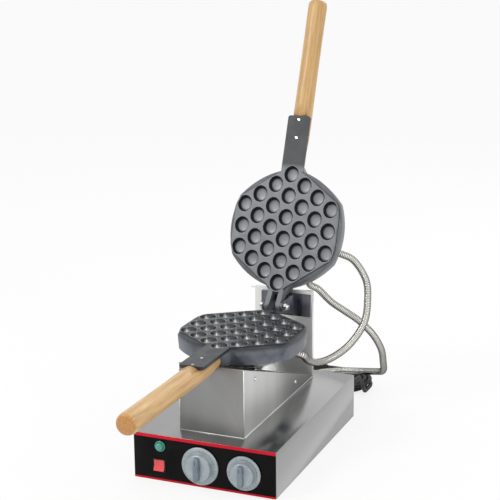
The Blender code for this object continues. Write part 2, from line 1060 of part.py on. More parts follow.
def tube(name, points, radii, mat, resolution):
    curve = bpy.data.curves.new(name, "CURVE")
    curve.dimensions = "3D"
    curve.bevel_depth = max(radii)
    curve.bevel_resolution = resolution
    curve.use_fill_caps = True
    curve.render_resolution_u = 0
    spline = curve.splines.new("POLY")
    spline.points.add(len(points) - 1)
    for point, mark, radius in zip(spline.points, points, radii):
        point.co = (mark.x, mark.y, mark.z, 1)
        point.radius = radius / max(radii)
    curve.materials.append(mat)
    obj = bpy.data.objects.new(name, curve)
    bpy.context.scene.collection.objects.link(obj)
    return obj


def as_mesh(obj):
    bpy.context.view_layer.update()
    shape = obj.evaluated_get(bpy.context.evaluated_depsgraph_get())
    mesh = bpy.data.meshes.new_from_object(shape)
    name = obj.name
    bpy.data.objects.remove(obj, do_unlink=True)
    out = bpy.data.objects.new(name, mesh)
    bpy.context.scene.collection.objects.link(out)
    return out


def self_gap(points, radius, skip):
    least = 1.0
    for i in range(len(points)):
        for j in range(i + skip, len(points)):
            least = min(least, (points[i] - points[j]).length)
    return least - 2 * radius


def hose(name, start, middle, finish_end):
    straight = 2 * hose_radius
    first = [start[0], start[0] + start[1] * straight]
    last = [finish_end[0] + finish_end[1] * straight, finish_end[0]]
    through = [Vector((x * pan_radius, hinge_y + y * pan_radius, z * hinge_z)) for x, y, z in middle]
    route = smooth_route(first + through + last)
    marks, length = spaced(route, hose_rib_pitch / 2)
    radii = [hose_valley_radius if i % 2 == 0 else hose_radius for i in range(len(marks))]
    body = as_mesh(tube(name, marks, radii, steel, 2))
    inner, _ = spaced(route, hose_bore_step)
    inner[0] = inner[0] - start[1] * overrun
    inner[-1] = inner[-1] - finish_end[1] * overrun
    bore = as_mesh(tube(name + "_cutter", inner, [hose_bore_radius] * len(inner), steel, 2))
    boolean(body, bore, "DIFFERENCE")
    skip = round(4 * hose_radius / (hose_rib_pitch / 2)) + 2
    print(name, "length", round(length, 4), "ribs", len(marks) // 2,
          "least gap to itself", round(self_gap(marks, hose_radius, skip), 4))
    return body


# Points between the ends: across and behind the hinge as shares of the pan's radius, height as a
# share of the hinge's height
hose_upper_lower_shares = (
    (1.0521, 0.8720, 1.3255),
    (1.2796, 0.8815, 1.1604),
    (1.3460, 0.7678, 0.9953),
    (1.3555, 0.5687, 0.8491),
    (1.2133, 0.2559, 0.7028),
    (1.0237, -0.0853, 0.6321),
    (0.9005, -0.4265, 0.6415),
    (0.8436, -0.6919, 0.7028),
)
hose("hose_upper_lower", upper_ends[0], hose_upper_lower_shares, lower_ends[0])
hose_base_upper_shares = (
    (0.5261, 0.6540, 1.0802),
    (0.7204, 0.7583, 0.9670),
    (0.9384, 0.8910, 0.8726),
    (1.1280, 1.0142, 0.7877),
    (1.3270, 1.1754, 0.6509),
    (1.4218, 1.3175, 0.5142),
    (1.4028, 1.5071, 0.3774),
    (1.3175, 1.7915, 0.2406),
    (1.0900, 2.0758, 0.1698),
    (0.7678, 2.2085, 0.1321),
    (0.4645, 2.1517, 0.1274),
    (0.2559, 1.9052, 0.1462),
    (0.1801, 1.5640, 0.1792),
)
base_tip = Vector((rear_gland_x, rear_face + gland_length + fit_gap, rear_gland_z))
hose("hose_base_upper", upper_ends[1], hose_base_upper_shares, (base_tip, Vector((0, 1, 0))))

# Power cord: free stretch, coil behind the base and plug
cord_start = Vector((cord_gland_x, rear_face + cord_gland_length + fit_gap, cord_gland_z))
coil_floor = cord_radius + floor_gap
coil_start = Vector((coil_x + coil_radius, coil_y - coil_lead_in, coil_floor))
cord_route = (
    (0.1050, 0.271, 0.036),
    (0.1045, 0.288, 0.016),
)
cord_lead = Vector((0, 1, 0)) * cord_lead_length
free_points = [cord_start, cord_start + cord_lead]
free_points += [Vector(p) for p in cord_route]
free_end = coil_start - Vector((0, fit_gap, 0))
free_points += [free_end - cord_lead, free_end]
free_marks, free_length = spaced(smooth_route(free_points), cord_step)
tube("power_cord", free_marks, [cord_radius] * len(free_marks), rubber, 2)

coil_marks = [coil_start]
coil_total = round(coil_turns * coil_points_per_turn)
half_turn = 0.5
reverse_start = coil_turns / 2 - half_turn / 2
for i in range(coil_total + 1):
    turns = i / coil_points_per_turn
    rise_share = min(1.0, max(0.0, (turns - reverse_start) / half_turn))
    ease = rise_share * rise_share * (3 - 2 * rise_share)
    inward = min(turns, reverse_start) - max(0.0, turns - reverse_start - half_turn)
    r = coil_radius - coil_pitch * inward
    turn = 2 * math.pi * turns
    coil_marks.append(
        Vector((coil_x + r * math.cos(turn), coil_y + r * math.sin(turn), coil_floor + coil_layer_rise * ease))
    )
coil_end = coil_marks[-1] + Vector((-coil_lead_out, 0, 0))
coil_marks.append(coil_marks[-1].lerp(coil_end, 0.5))
coil_marks.append(coil_end)
tube("cord_coil", coil_marks, [cord_radius] * len(coil_marks), rubber, 1)
coil_length = sum((b - a).length for a, b in zip(coil_marks, coil_marks[1:]))
coil_skip = coil_points_per_turn // 2
print("cord_coil length", round(coil_length, 4), "least gap to itself",
      round(self_gap(coil_marks, cord_radius, coil_skip), 4))
print("cord length in all", round(coil_length + free_length, 4))

plug_start = coil_end + Vector((-fit_gap, 0, 0))
plug_place = along(plug_start, (-1, 0, 0))
plug = put(
    "plug",
    turned(
        (
            (cord_radius * 1.3, 0),
            (cord_radius * 1.5, plug_length * 0.2),
            (plug_radius * 0.85, plug_length * 0.45),
            (plug_radius, plug_length * 0.6),
            (plug_radius, plug_length),
        ),
        small_sides,
    ),
    rubber,
    None,
    plug_place,
)
for side in (-1, 1):
    pin = turned(
        ((plug_pin_radius, plug_length - overrun), (plug_pin_radius, plug_length + plug_pin_length)), 12
    )
    fuse(plug, pin, plug_place @ Matrix.Translation((side * plug_pin_spacing, 0, 0)))
for name in ("timer_dial", "thermostat_dial", "upper_pan", "lower_pan", "base_gland", "cord_gland"):
    smooth(bpy.data.objects[name])
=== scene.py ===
import math
import bpy
import bmesh
import numpy as np
from mathutils import Matrix, Vector


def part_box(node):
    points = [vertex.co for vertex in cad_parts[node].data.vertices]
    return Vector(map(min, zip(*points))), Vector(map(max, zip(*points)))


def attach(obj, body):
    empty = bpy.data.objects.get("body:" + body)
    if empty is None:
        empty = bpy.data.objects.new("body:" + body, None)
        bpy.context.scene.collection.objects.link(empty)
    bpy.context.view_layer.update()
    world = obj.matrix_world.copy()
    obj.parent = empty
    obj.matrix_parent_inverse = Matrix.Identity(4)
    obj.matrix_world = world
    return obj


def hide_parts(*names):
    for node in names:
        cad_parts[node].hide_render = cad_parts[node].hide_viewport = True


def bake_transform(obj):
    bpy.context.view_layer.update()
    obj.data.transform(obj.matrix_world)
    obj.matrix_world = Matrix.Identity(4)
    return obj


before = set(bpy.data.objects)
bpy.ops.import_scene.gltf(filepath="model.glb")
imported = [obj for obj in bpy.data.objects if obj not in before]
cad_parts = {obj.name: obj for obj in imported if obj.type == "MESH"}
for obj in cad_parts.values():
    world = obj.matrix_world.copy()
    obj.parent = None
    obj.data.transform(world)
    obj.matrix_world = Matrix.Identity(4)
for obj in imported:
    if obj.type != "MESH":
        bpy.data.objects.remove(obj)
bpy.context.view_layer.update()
scene = bpy.context.scene
scene.view_settings.view_transform = "Standard"
print("stage: frame loaded")

# places that the frame gives, in metres
hinge = {"y": 0.107, "z": 0.212, "open": math.radians(112.2)}
fitGap = 0.0003
panelY, rearY = -0.188, 0.188   # the base's front and rear faces
lowerPlace = Matrix.Translation((0, hinge["y"], hinge["z"]))
upperPlace = lowerPlace @ Matrix.Rotation(-hinge["open"], 4, "X") @ Matrix.Rotation(math.pi, 4, "Y")
halves = (("lower", lowerPlace, "stand"), ("upper", upperPlace, "upper_half"))

view = {"place": (0.8128, -1.9333, 0.8669), "yaw": 22.746, "pitch": 14.218, "roll": -0.5455, "lens": 96.5,
        "sensor": 36, "near": 0.05}


def makeCamera():
    # yaw turns the view about the height axis, pitch tips it down, roll turns it about its own axis
    yaw, pitch, roll = (math.radians(view[k]) for k in ("yaw", "pitch", "roll"))
    ahead = Vector((-math.sin(yaw) * math.cos(pitch), math.cos(yaw) * math.cos(pitch), -math.sin(pitch)))
    across = Vector((math.cos(yaw), math.sin(yaw), 0))
    up = across.cross(ahead)
    right = math.cos(roll) * across + math.sin(roll) * up
    top = -math.sin(roll) * across + math.cos(roll) * up
    data = bpy.data.cameras.new("photoCamera")
    data.lens, data.sensor_width, data.clip_start = view["lens"], view["sensor"], view["near"]
    cam = bpy.data.objects.new("photoCamera", data)
    rows = [(right[k], top[k], -ahead[k], view["place"][k]) for k in range(3)]
    cam.matrix_world = Matrix((*rows, (0, 0, 0, 1)))
    scene.collection.objects.link(cam)
    scene.camera = cam


studio = {
    "skyTop": 0.95, "skyLow": 0.42, "skyFull": 0.75, "floor": 0.90, "floorWhite": 0.80, "floorRough": 0.8,
    "floorHalf": 40.0, "floorZ": -0.0005,
    # place, what it points at, size and watts of each light
    "lights": {
        "keyLight": ((-1.2, -1.5, 2.0), (0, 0, 0.3), (0.62, 0.62), 16.0),
        "fillLight": ((1.9, -0.9, 1.1), (0, 0, 0.2), (0.45, 0.60), 5.0),
        "rimLight": ((0.5, 1.8, 1.6), (0, 0, 0.2), (1.2, 0.6), 7.0),
    },
}


def newNodes(nodes, *kinds):
    return [nodes.new("ShaderNode" + kind) for kind in kinds]


def setInputs(node, values):
    for key, value in values.items():
        node.inputs[key].default_value = value


def wire(links, *rows):
    # each row is a node, its output, the next node and that one's input
    for start, out, end, into in rows:
        links.new(start.outputs[out], end.inputs[into])


def setRamp(ramp, stops):
    # a (place, colour) pair for each stop, from low to high
    elements = ramp.color_ramp.elements
    for place, colour in stops[1:-1]:
        elements.new(place).color = (*colour, 1)
    for end in (0, -1):
        elements[end].position = stops[end][0]
        elements[end].color = (*stops[end][1], 1)


def colourMix(nodes, blend="MIX"):
    mix = nodes.new("ShaderNodeMix")
    mix.data_type, mix.blend_type = "RGBA", blend
    return mix


def makeLight(name, place, aim, size, watts):
    data = bpy.data.lights.new(name, "AREA")
    data.shape, data.size, data.size_y, data.energy = "RECTANGLE", size[0], size[1], watts
    lamp = bpy.data.objects.new(name, data)
    lamp.location = place
    lamp.rotation_mode = "QUATERNION"
    lamp.rotation_quaternion = (Vector(aim) - Vector(place)).to_track_quat("-Z", "Y")
    scene.collection.objects.link(lamp)


def seenDirectly(nodes, links):
    # one where the eye, a reflection or clear plastic looks at the surface, nought where it only gives light
    rays, first, second = newNodes(nodes, "LightPath", "Math", "Math")
    first.operation = second.operation = "MAXIMUM"
    wire(links, (rays, "Is Camera Ray", first, 0), (rays, "Is Glossy Ray", first, 1), (first, 0, second, 0),
         (rays, "Is Transmission Ray", second, 1))
    return second, 0


def makeStudio():
    # a sky that is brighter overhead and greyer towards the horizon, seen as plain white
    world = bpy.data.worlds.new("studioWorld")
    scene.world = world
    world.use_nodes = True
    nodes, links = world.node_tree.nodes, world.node_tree.links
    nodes.clear()
    out, soft, white, mix, coord, split, ramp = newNodes(nodes, "OutputWorld", "Background", "Background",
                                                         "MixShader", "TexCoord", "SeparateXYZ", "ValToRGB")
    setRamp(ramp, ((0.0, (studio["skyLow"],) * 3), (studio["skyFull"], (studio["skyTop"],) * 3)))
    setInputs(white, {"Color": (1, 1, 1, 1)})
    wire(links, (coord, "Generated", split, 0), (split, "Z", ramp, "Fac"), (ramp, "Color", soft, "Color"),
         (*seenDirectly(nodes, links), mix, 0), (soft, 0, mix, 1), (white, 0, mix, 2), (mix, 0, out, "Surface"))
    for name, values in studio["lights"].items():
        makeLight(name, *values)


# mesh helpers: rings of points joined into a skin, as whole arrays
def ringFaces(rings, around):
    # each point joins its neighbour and the same two points of the next ring
    here = np.arange(rings - 1)[:, None] * around + np.arange(around)
    beside = np.arange(rings - 1)[:, None] * around + (np.arange(around) + 1) % around
    return np.stack((here, beside, beside + around, here + around), -1).reshape(-1, 4)


def newPiece(name, points, faces, look, body, smooth=True, tris=None):
    mesh = bpy.data.meshes.new(name)
    polys = faces.tolist() + (tris.tolist() if tris is not None else [])
    mesh.from_pydata(points.tolist(), [], polys)
    mesh.polygons.foreach_set("use_smooth", np.full(len(mesh.polygons), smooth))
    mesh.materials.append(finishes[look])
    mesh.update()
    obj = bpy.data.objects.new(name, mesh)
    scene.collection.objects.link(obj)
    if body:
        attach(obj, body)
    return obj


def addValue(obj, name, values):
    layer = obj.data.attributes.new(name, "FLOAT", "POINT")
    layer.data.foreach_set("value", np.asarray(values, np.float32))


def moved(points, place):
    m = np.array(place)
    return points @ m[:3, :3].T + m[:3, 3]


def skin(rings, capFirst=False, capLast=False):
    # rings is an array (ring, around, xyz); a cap is a fan from the ring's middle
    n, m, _ = rings.shape
    points, faces = rings.reshape(-1, 3), ringFaces(n, m)
    tris, k = [], np.arange(m)
    if capFirst:
        points = np.vstack((points, rings[0].mean(0)))
        tris.append(np.stack((np.full(m, len(points) - 1), (k + 1) % m, k), -1))
    if capLast:
        points = np.vstack((points, rings[-1].mean(0)))
        tris.append(np.stack((np.full(m, len(points) - 1), k + (n - 1) * m, (k + 1) % m + (n - 1) * m), -1))
    return points, faces, (np.vstack(tris) if tris else None)


def circle(around):
    return np.linspace(0, 2 * np.pi, around, endpoint=False)


def lathe(name, profile, around, place, look, body):
    # (radius, height) rows carried round the height axis; a row with a third value of 1 follows a hexagon
    p, t = np.array(profile, float), circle(around)
    r = p[:, :1]
    if p.shape[1] == 3:
        hexagon = math.cos(math.pi / 6) / np.cos((t + math.pi / 6) % (math.pi / 3) - math.pi / 6)
        r = r * (1 + (hexagon - 1) * p[:, 2:])
    points, faces, _ = skin(np.stack((r * np.cos(t), r * np.sin(t), p[:, 1:2] + 0 * t), -1))
    return newPiece(name, moved(points, place), faces, look, body)


def along(point, direction):
    # the place whose height axis leaves the point in that direction
    return Matrix.Translation(point) @ Vector(direction).to_track_quat("Z", "Y").to_matrix().to_4x4()


def sweep(path, radii, around):
    # a circle is carried along the path; its frame turns as little as it can from point to point
    path = np.asarray(path, float)
    tangent = np.gradient(path, axis=0)
    tangent /= np.linalg.norm(tangent, axis=1)[:, None]
    normal = np.cross(tangent[0], (0.3, 0.2, 1.0))   # any direction that no path starts along
    frames = []
    for t in tangent:
        normal = normal - t * normal.dot(t)
        normal /= np.linalg.norm(normal)
        frames.append(normal)
    frames = np.array(frames)
    other = np.cross(tangent, frames)
    a = circle(around)[None, :, None]
    return path[:, None] + np.asarray(radii, float)[:, None, None] * (np.cos(a) * frames[:, None]
                                                                      + np.sin(a) * other[:, None])


def hermite(s, start, startSlope, end, endSlope):
    # the cubic that leaves and arrives with the given slopes
    return ((2 * s**3 - 3 * s**2 + 1) * start + (s**3 - 2 * s**2 + s) * startSlope
            + (-2 * s**3 + 3 * s**2) * end + (s**3 - s**2) * endSlope)


rounding = {"merge": 1e-6, "flat": math.radians(1), "sharp": math.radians(35), "segments": 2}


def softened(node, width, look, body):
    # a merged copy of a frame node with small rounded edges, which then stands for it
    bm = bmesh.new()
    bm.from_mesh(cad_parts[node].data)
    bmesh.ops.remove_doubles(bm, verts=bm.verts, dist=rounding["merge"])
    bmesh.ops.dissolve_limit(bm, angle_limit=rounding["flat"], verts=bm.verts, edges=bm.edges)
    mesh = bpy.data.meshes.new(node + "Look")
    bm.to_mesh(mesh)
    bm.free()
    mesh.materials.clear()
    mesh.materials.append(finishes[look])
    mesh.polygons.foreach_set("use_smooth", np.full(len(mesh.polygons), True))
    obj = bpy.data.objects.new(node + "Look", mesh)
    scene.collection.objects.link(obj)
    bevel = obj.modifiers.new("roundedEdges", "BEVEL")
    bevel.width, bevel.segments, bevel.limit_method = width, rounding["segments"], "ANGLE"
    bevel.angle_limit, bevel.harden_normals, bevel.use_clamp_overlap = rounding["sharp"], True, True
    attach(obj, body)
    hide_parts(node)


# noise detail, and the noise values that are spread to the full range of colour and of roughness
mottleRange = {"patchDetail": 6, "grainDetail": 3, "colour": (0.33, 0.67), "rough": (0.35, 0.65)}


def mottleGroup():
    # soft patches between two colours and two roughnesses, with a fine grain as height
    tree = bpy.data.node_groups.new("surfaceMottle", "ShaderNodeTree")
    sockets = {"INPUT": {"Place": "Vector", "Patch Scale": "Float", "Grain Scale": "Float", "Dark": "Color",
                         "Light": "Color", "Rough Low": "Float", "Rough High": "Float"},
               "OUTPUT": {"Color": "Color", "Height": "Float", "Roughness": "Float"}}
    for way, wanted in sockets.items():
        for name, kind in wanted.items():
            tree.interface.new_socket(name, in_out=way, socket_type="NodeSocket" + kind)
    nodes, links = tree.nodes, tree.links
    start, end = nodes.new("NodeGroupInput"), nodes.new("NodeGroupOutput")
    patch, grain, stretch, rough = newNodes(nodes, "TexNoise", "TexNoise", "MapRange", "MapRange")
    mix = colourMix(nodes)
    setInputs(patch, {"Detail": mottleRange["patchDetail"]})
    setInputs(grain, {"Detail": mottleRange["grainDetail"]})
    for node, key in ((stretch, "colour"), (rough, "rough")):
        setInputs(node, {"From Min": mottleRange[key][0], "From Max": mottleRange[key][1]})
    wire(links, (start, "Place", patch, "Vector"), (start, "Patch Scale", patch, "Scale"),
         (start, "Place", grain, "Vector"), (start, "Grain Scale", grain, "Scale"),
         (patch, "Fac", stretch, "Value"), (stretch, "Result", mix, "Factor"),
         (start, "Dark", mix, "A"), (start, "Light", mix, "B"), (mix, "Result", end, "Color"),
         (patch, "Fac", rough, "Value"), (start, "Rough Low", rough, "To Min"), (start, "Rough High", rough, "To Max"),
         (rough, "Result", end, "Roughness"), (grain, "Fac", end, "Height"))
    return tree


def materialWithShader(name, metallic, rough, coat=0.0, coatRough=0.1):
    mat = bpy.data.materials.new(name)
    mat.use_nodes = True
    shader = mat.node_tree.nodes["Principled BSDF"]
    setInputs(shader, {"Metallic": metallic, "Roughness": rough, "Coat Weight": coat, "Coat Roughness": coatRough})
    return mat, mat.node_tree.nodes, mat.node_tree.links, shader


def surface(name, dark, light, patch, grain, rough, bump, metallic=0.0, stretch=(1, 1, 1), coat=0.0, coatRough=0.1,
            specular=0.5, paintedShade=None, grade=None, edge=None, bands=None):
    # patches and grain, stretched along an axis where the finish is brushed
    mat, nodes, links, shader = materialWithShader(name, metallic, rough[0], coat, coatRough)
    source, mapping, group, relief = newNodes(nodes, "TexCoord", "Mapping", "Group", "Bump")
    group.node_tree = mottle
    setInputs(shader, {"Specular IOR Level": specular})
    setInputs(mapping, {"Scale": stretch})
    setInputs(group, {"Patch Scale": patch, "Grain Scale": grain, "Dark": (*dark, 1), "Light": (*light, 1),
                      "Rough Low": rough[0], "Rough High": rough[1]})
    setInputs(relief, {"Distance": bump, "Strength": 0.5})
    wire(links, (source, "Object", mapping, "Vector"), (mapping, "Vector", group, "Place"),
         (group, "Roughness", shader, "Roughness"), (group, "Height", relief, "Height"),
         (relief, "Normal", shader, "Normal"))
    colour = (group, "Color")
    if paintedShade:   # painted shade: a dark colour mixed in where the piece's own shade value is high
        mask, shadeMix = nodes.new("ShaderNodeAttribute"), colourMix(nodes)
        mask.attribute_name = "paintedShade"
        setInputs(shadeMix, {"B": (*paintedShade, 1)})
        wire(links, (mask, "Fac", shadeMix, "Factor"), (*colour, shadeMix, "A"))
        colour = (shadeMix, "Result")
    if grade:   # a change of tone along one axis: painted reflection and shade on the riser, painted shade on the fixed half's top, a painted highlight low on the rocker, and darker towards the handle on the open half
        split, tones, ramp = newNodes(nodes, "SeparateXYZ", "MapRange", "ValToRGB")
        tint = colourMix(nodes, "MULTIPLY")
        setInputs(tones, {"From Min": grade["low"], "From Max": grade["high"]})
        setInputs(tint, {"Factor": 1.0})
        setRamp(ramp, [(place, (tone,) * 3) for place, tone in grade["tones"]])
        wire(links, (source, "Object", split, 0), (split, grade["axis"], tones, "Value"),
             (tones, "Result", ramp, "Fac"), (*colour, tint, "A"), (ramp, "Color", tint, "B"))
        colour = (tint, "Result")
    if edge:   # painted shade: darker towards the sides where the surface is seen edge-on
        facing, shade = nodes.new("ShaderNodeLayerWeight"), colourMix(nodes)
        setInputs(facing, {"Blend": edge["blend"]})
        setInputs(shade, {"B": (*edge["colour"], 1)})
        setInputs(shader, {"Specular Tint": (*(edge["sheen"],) * 3, 1)})
        wire(links, (facing, "Facing", shade, "Factor"), (*colour, shade, "A"))
        colour = (shade, "Result")
    if bands:   # a second colour above one height and below another
        split, high, low, both = newNodes(nodes, "SeparateXYZ", "Math", "Math", "Math")
        paint = colourMix(nodes)
        high.operation, low.operation, both.operation = "GREATER_THAN", "LESS_THAN", "MAXIMUM"
        setInputs(high, {1: bands["above"]})
        setInputs(low, {1: bands["below"]})
        setInputs(paint, {"B": (*bands["colour"], 1)})
        wire(links, (source, "Object", split, 0), (split, "Z", high, 0), (split, "Z", low, 0), (high, 0, both, 0),
             (low, 0, both, 1), (both, 0, paint, "Factor"), (*colour, paint, "A"))
        colour = (paint, "Result")
    wire(links, (*colour, shader, "Base Color"))
    finishes[name] = mat


wood = {
    "rough": 0.42, "coat": 0.25, "grainStretch": (1.0, 0.05, 1.0), "poreStretch": (1.0, 0.035, 1.0),
    "grain": {"Scale": 330, "Detail": 5, "Distortion": 0.6}, "pores": {"Scale": 900, "Detail": 2},
    "grainTones": ((0.30, (0.54, 0.305, 0.105)), (0.68, (0.74, 0.470, 0.195))),
    "poreTones": ((0.28, (0.45, 0.45, 0.45)), (0.40, (1, 1, 1))),
    "toneScale": 14, "toneShare": 0.12, "poreShare": 0.45, "end": (0.88, 0.68, 0.48),
    "relief": {"Distance": 0.0002, "Strength": 0.35},
}


def woodFinish():
    # long grain lines and small dark pores along the handle's own axis, darker and warmer on the sawn end
    mat, nodes, links, shader = materialWithShader("honeyWood", 0.0, wood["rough"], wood["coat"], wood["coat"])
    place, ends, longMap, poreMap = newNodes(nodes, "Attribute", "Attribute", "Mapping", "Mapping")
    grain, pores, tone, ramp, dots, relief = newNodes(nodes, "TexNoise", "TexNoise", "TexNoise", "ValToRGB",
                                                      "ValToRGB", "Bump")
    shade, spots, warm = (colourMix(nodes, "MULTIPLY") for _ in range(3))
    place.attribute_name, ends.attribute_name = "grainPlace", "endGrain"
    for node, values in ((longMap, {"Scale": wood["grainStretch"]}), (poreMap, {"Scale": wood["poreStretch"]}),
                         (grain, wood["grain"]), (pores, wood["pores"]), (tone, {"Scale": wood["toneScale"]}),
                         (shade, {"Factor": wood["toneShare"]}), (spots, {"Factor": wood["poreShare"]}),
                         (warm, {"B": (*wood["end"], 1)}), (relief, wood["relief"])):
        setInputs(node, values)
    setRamp(ramp, wood["grainTones"])
    setRamp(dots, wood["poreTones"])
    wire(links, (place, "Vector", longMap, "Vector"), (place, "Vector", poreMap, "Vector"),
         (place, "Vector", tone, "Vector"), (longMap, "Vector", grain, "Vector"), (poreMap, "Vector", pores, "Vector"),
         (grain, "Fac", ramp, "Fac"), (pores, "Fac", dots, "Fac"), (ramp, "Color", shade, "A"),
         (tone, "Fac", shade, "B"), (shade, "Result", spots, "A"), (dots, "Color", spots, "B"),
         (ends, "Fac", warm, "Factor"), (spots, "Result", warm, "A"), (warm, "Result", shader, "Base Color"),
         (dots, "Color", relief, "Height"), (relief, "Normal", shader, "Normal"))
    finishes["honeyWood"] = mat


def floorFinish():
    # a pale matt floor; a share of plain white keeps it as white as the backdrop and leaves a soft shadow
    mat, nodes, links, shader = materialWithShader("paleFloor", 0.0, studio["floorRough"])
    white, mix, share = newNodes(nodes, "Emission", "MixShader", "Math")
    share.operation = "MULTIPLY"
    setInputs(shader, {"Base Color": (*(studio["floor"],) * 3, 1), "Specular IOR Level": 0.0})
    setInputs(share, {1: studio["floorWhite"]})
    wire(links, (*seenDirectly(nodes, links), share, 0), (share, 0, mix, 0), (shader, 0, mix, 1), (white, 0, mix, 2),
         (mix, 0, nodes["Material Output"], "Surface"))
    finishes["paleFloor"] = mat


mottle = mottleGroup()
finishes = {}
surface("upperCasting", dark=(0.145, 0.152, 0.163), light=(0.225, 0.234, 0.247), patch=55, grain=1500,
        rough=(0.40, 0.55), bump=0.00016, metallic=0.35, coat=0.15, coatRough=0.3, paintedShade=(0.012, 0.014, 0.018),
        grade={"axis": "Z", "low": 0.212, "high": 0.512,
               "tones": ((0.0, 0.98), (0.735, 0.98), (0.765, 0.26), (1.0, 0.18))})
# the fixed half's casting: a darker copy of the same casting, as painted shade for the dark upper half it reflects;
# its grade paints the top darker still and the side below lighter
surface("lowerCasting", dark=(0.034, 0.039, 0.047), light=(0.072, 0.079, 0.091), patch=55, grain=1500,
        rough=(0.34, 0.50), bump=0.00016, metallic=0.35, coat=0.1, coatRough=0.2, paintedShade=(0.010, 0.012, 0.015),
        grade={"axis": "Z", "low": hinge["z"] - 0.030, "high": hinge["z"],
               "tones": ((0.0, 2.3), (0.70, 2.0), (0.88, 0.5), (1.0, 0.45))})
surface("upperCups", dark=(0.200, 0.208, 0.222), light=(0.290, 0.300, 0.316), patch=70, grain=1500,
        rough=(0.36, 0.50), bump=0.00014, metallic=0.35, coat=0.2, coatRough=0.25, paintedShade=(0.010, 0.012, 0.015))
# the fixed half's cups: a much lighter copy of the casting, seen only where the painted shade leaves it bare, as
# painted highlights
surface("lowerCups", dark=(0.46, 0.475, 0.50), light=(0.62, 0.635, 0.66), patch=70, grain=1500,
        rough=(0.20, 0.30), bump=0.00006, metallic=0.60, coat=1.0, coatRough=0.14, paintedShade=(0.020, 0.023, 0.028))
# painted reflection and shade: the riser's tone runs along its depth, darker on the front face, bright just behind the
# front fold and darker towards the rear
surface("riserSheet", dark=(0.60, 0.60, 0.60), light=(0.72, 0.72, 0.71), patch=16, grain=1100,
        rough=(0.44, 0.52), bump=0.00002, metallic=1.0, stretch=(1, 1, 0.04),
        grade={"axis": "Y", "low": -0.156, "high": 0.154,
               "tones": ((0.0, 0.42), (0.0075, 0.44), (0.0085, 0.90), (0.10, 1.0), (0.40, 0.84), (0.66, 0.40),
                         (1.0, 0.26))})
# painted light: a much brighter copy of the stand's steel, kept free of the dark reflections it would show
surface("uprightSheet", dark=(0.78, 0.775, 0.76), light=(0.92, 0.915, 0.90), patch=14, grain=900,
        rough=(0.30, 0.40), bump=0.00002, metallic=0.7, stretch=(1, 1, 0.05))
surface("brushedTop", dark=(0.29, 0.293, 0.292), light=(0.38, 0.382, 0.378), patch=14, grain=1100,
        rough=(0.16, 0.26), bump=0.00003, metallic=1.0, stretch=(1, 0.05, 1))
surface("plainSheet", dark=(0.50, 0.50, 0.49), light=(0.60, 0.60, 0.59), patch=22, grain=1100,
        rough=(0.22, 0.32), bump=0.00003, metallic=1.0, stretch=(1, 0.05, 1))
surface("pressedDish", dark=(0.60, 0.60, 0.60), light=(0.74, 0.74, 0.73), patch=30, grain=900,
        rough=(0.12, 0.20), bump=0.00002, metallic=1.0, paintedShade=(0.04, 0.04, 0.045))
# painted shade: the hinge bracket's steel darkened to stand in for the dark reflections on it
surface("darkBracket", dark=(0.055, 0.058, 0.075), light=(0.19, 0.195, 0.22), patch=75, grain=900,
        rough=(0.26, 0.40), bump=0.00008, metallic=0.75, stretch=(1, 1, 0.05))
surface("brightFastener", dark=(0.68, 0.67, 0.65), light=(0.80, 0.79, 0.77), patch=120, grain=1200,
        rough=(0.12, 0.22), bump=0.00002, metallic=1.0)
# the hoses: painted shade in the grooves and along the sides
surface("ribbedConduit", dark=(0.80, 0.79, 0.75), light=(0.92, 0.91, 0.87), patch=25, grain=900,
        rough=(0.18, 0.28), bump=0.00002, metallic=1.0, paintedShade=(0.20, 0.19, 0.165),
        edge={"colour": (0.035, 0.034, 0.030), "blend": 0.55, "sheen": 0.10})
surface("dialSilver", dark=(0.31, 0.365, 0.390), light=(0.41, 0.465, 0.490), patch=60, grain=1400,
        rough=(0.28, 0.40), bump=0.00005, metallic=0.35)
surface("dialRib", dark=(0.17, 0.215, 0.26), light=(0.24, 0.29, 0.335), patch=60, grain=1400,
        rough=(0.26, 0.38), bump=0.00005, metallic=0.35)
surface("dialMark", dark=(0.02, 0.022, 0.03), light=(0.035, 0.04, 0.05), patch=90, grain=1400,
        rough=(0.40, 0.50), bump=0.00002)
# painted highlight: the rocker is lighter low down and darker towards its top
surface("switchRed", dark=(0.72, 0.045, 0.05), light=(0.84, 0.085, 0.085), patch=60, grain=1300,
        rough=(0.20, 0.30), bump=0.00003, coat=0.3,
        grade={"axis": "Z", "low": 0.015, "high": 0.036, "tones": ((0.0, 1.3), (0.45, 1.0), (1.0, 0.78))})
surface("blackMoulding", dark=(0.008, 0.008, 0.009), light=(0.018, 0.018, 0.019), patch=80, grain=1300,
        rough=(0.35, 0.50), bump=0.00008, specular=0.3)
surface("lampGreen", dark=(0.03, 0.24, 0.18), light=(0.07, 0.38, 0.30), patch=90, grain=600,
        rough=(0.10, 0.18), bump=0.00003, coat=0.5)
surface("cordRubber", dark=(0.010, 0.010, 0.010), light=(0.020, 0.020, 0.021), patch=90, grain=1600,
        rough=(0.50, 0.65), bump=0.0001, specular=0.3)
surface("whiteBlock", dark=(0.70, 0.70, 0.67), light=(0.82, 0.82, 0.79), patch=60, grain=1200,
        rough=(0.40, 0.50), bump=0.00004)
surface("heaterTube", dark=(0.10, 0.09, 0.085), light=(0.20, 0.18, 0.17), patch=80, grain=1200,
        rough=(0.45, 0.60), bump=0.00006, metallic=0.8)
surface("plugPins", dark=(0.60, 0.58, 0.52), light=(0.74, 0.72, 0.66), patch=120, grain=1200,
        rough=(0.18, 0.28), bump=0.00002, metallic=1.0)
surface("panelEnamel", dark=(0.001, 0.001, 0.0012), light=(0.004, 0.0037, 0.004), patch=40, grain=1500,
        rough=(0.24, 0.34), bump=0.00002, specular=0.10,
        bands={"above": 0.0706, "below": 0.0034, "colour": (0.66, 0.010, 0.028)})
woodFinish()
floorFinish()
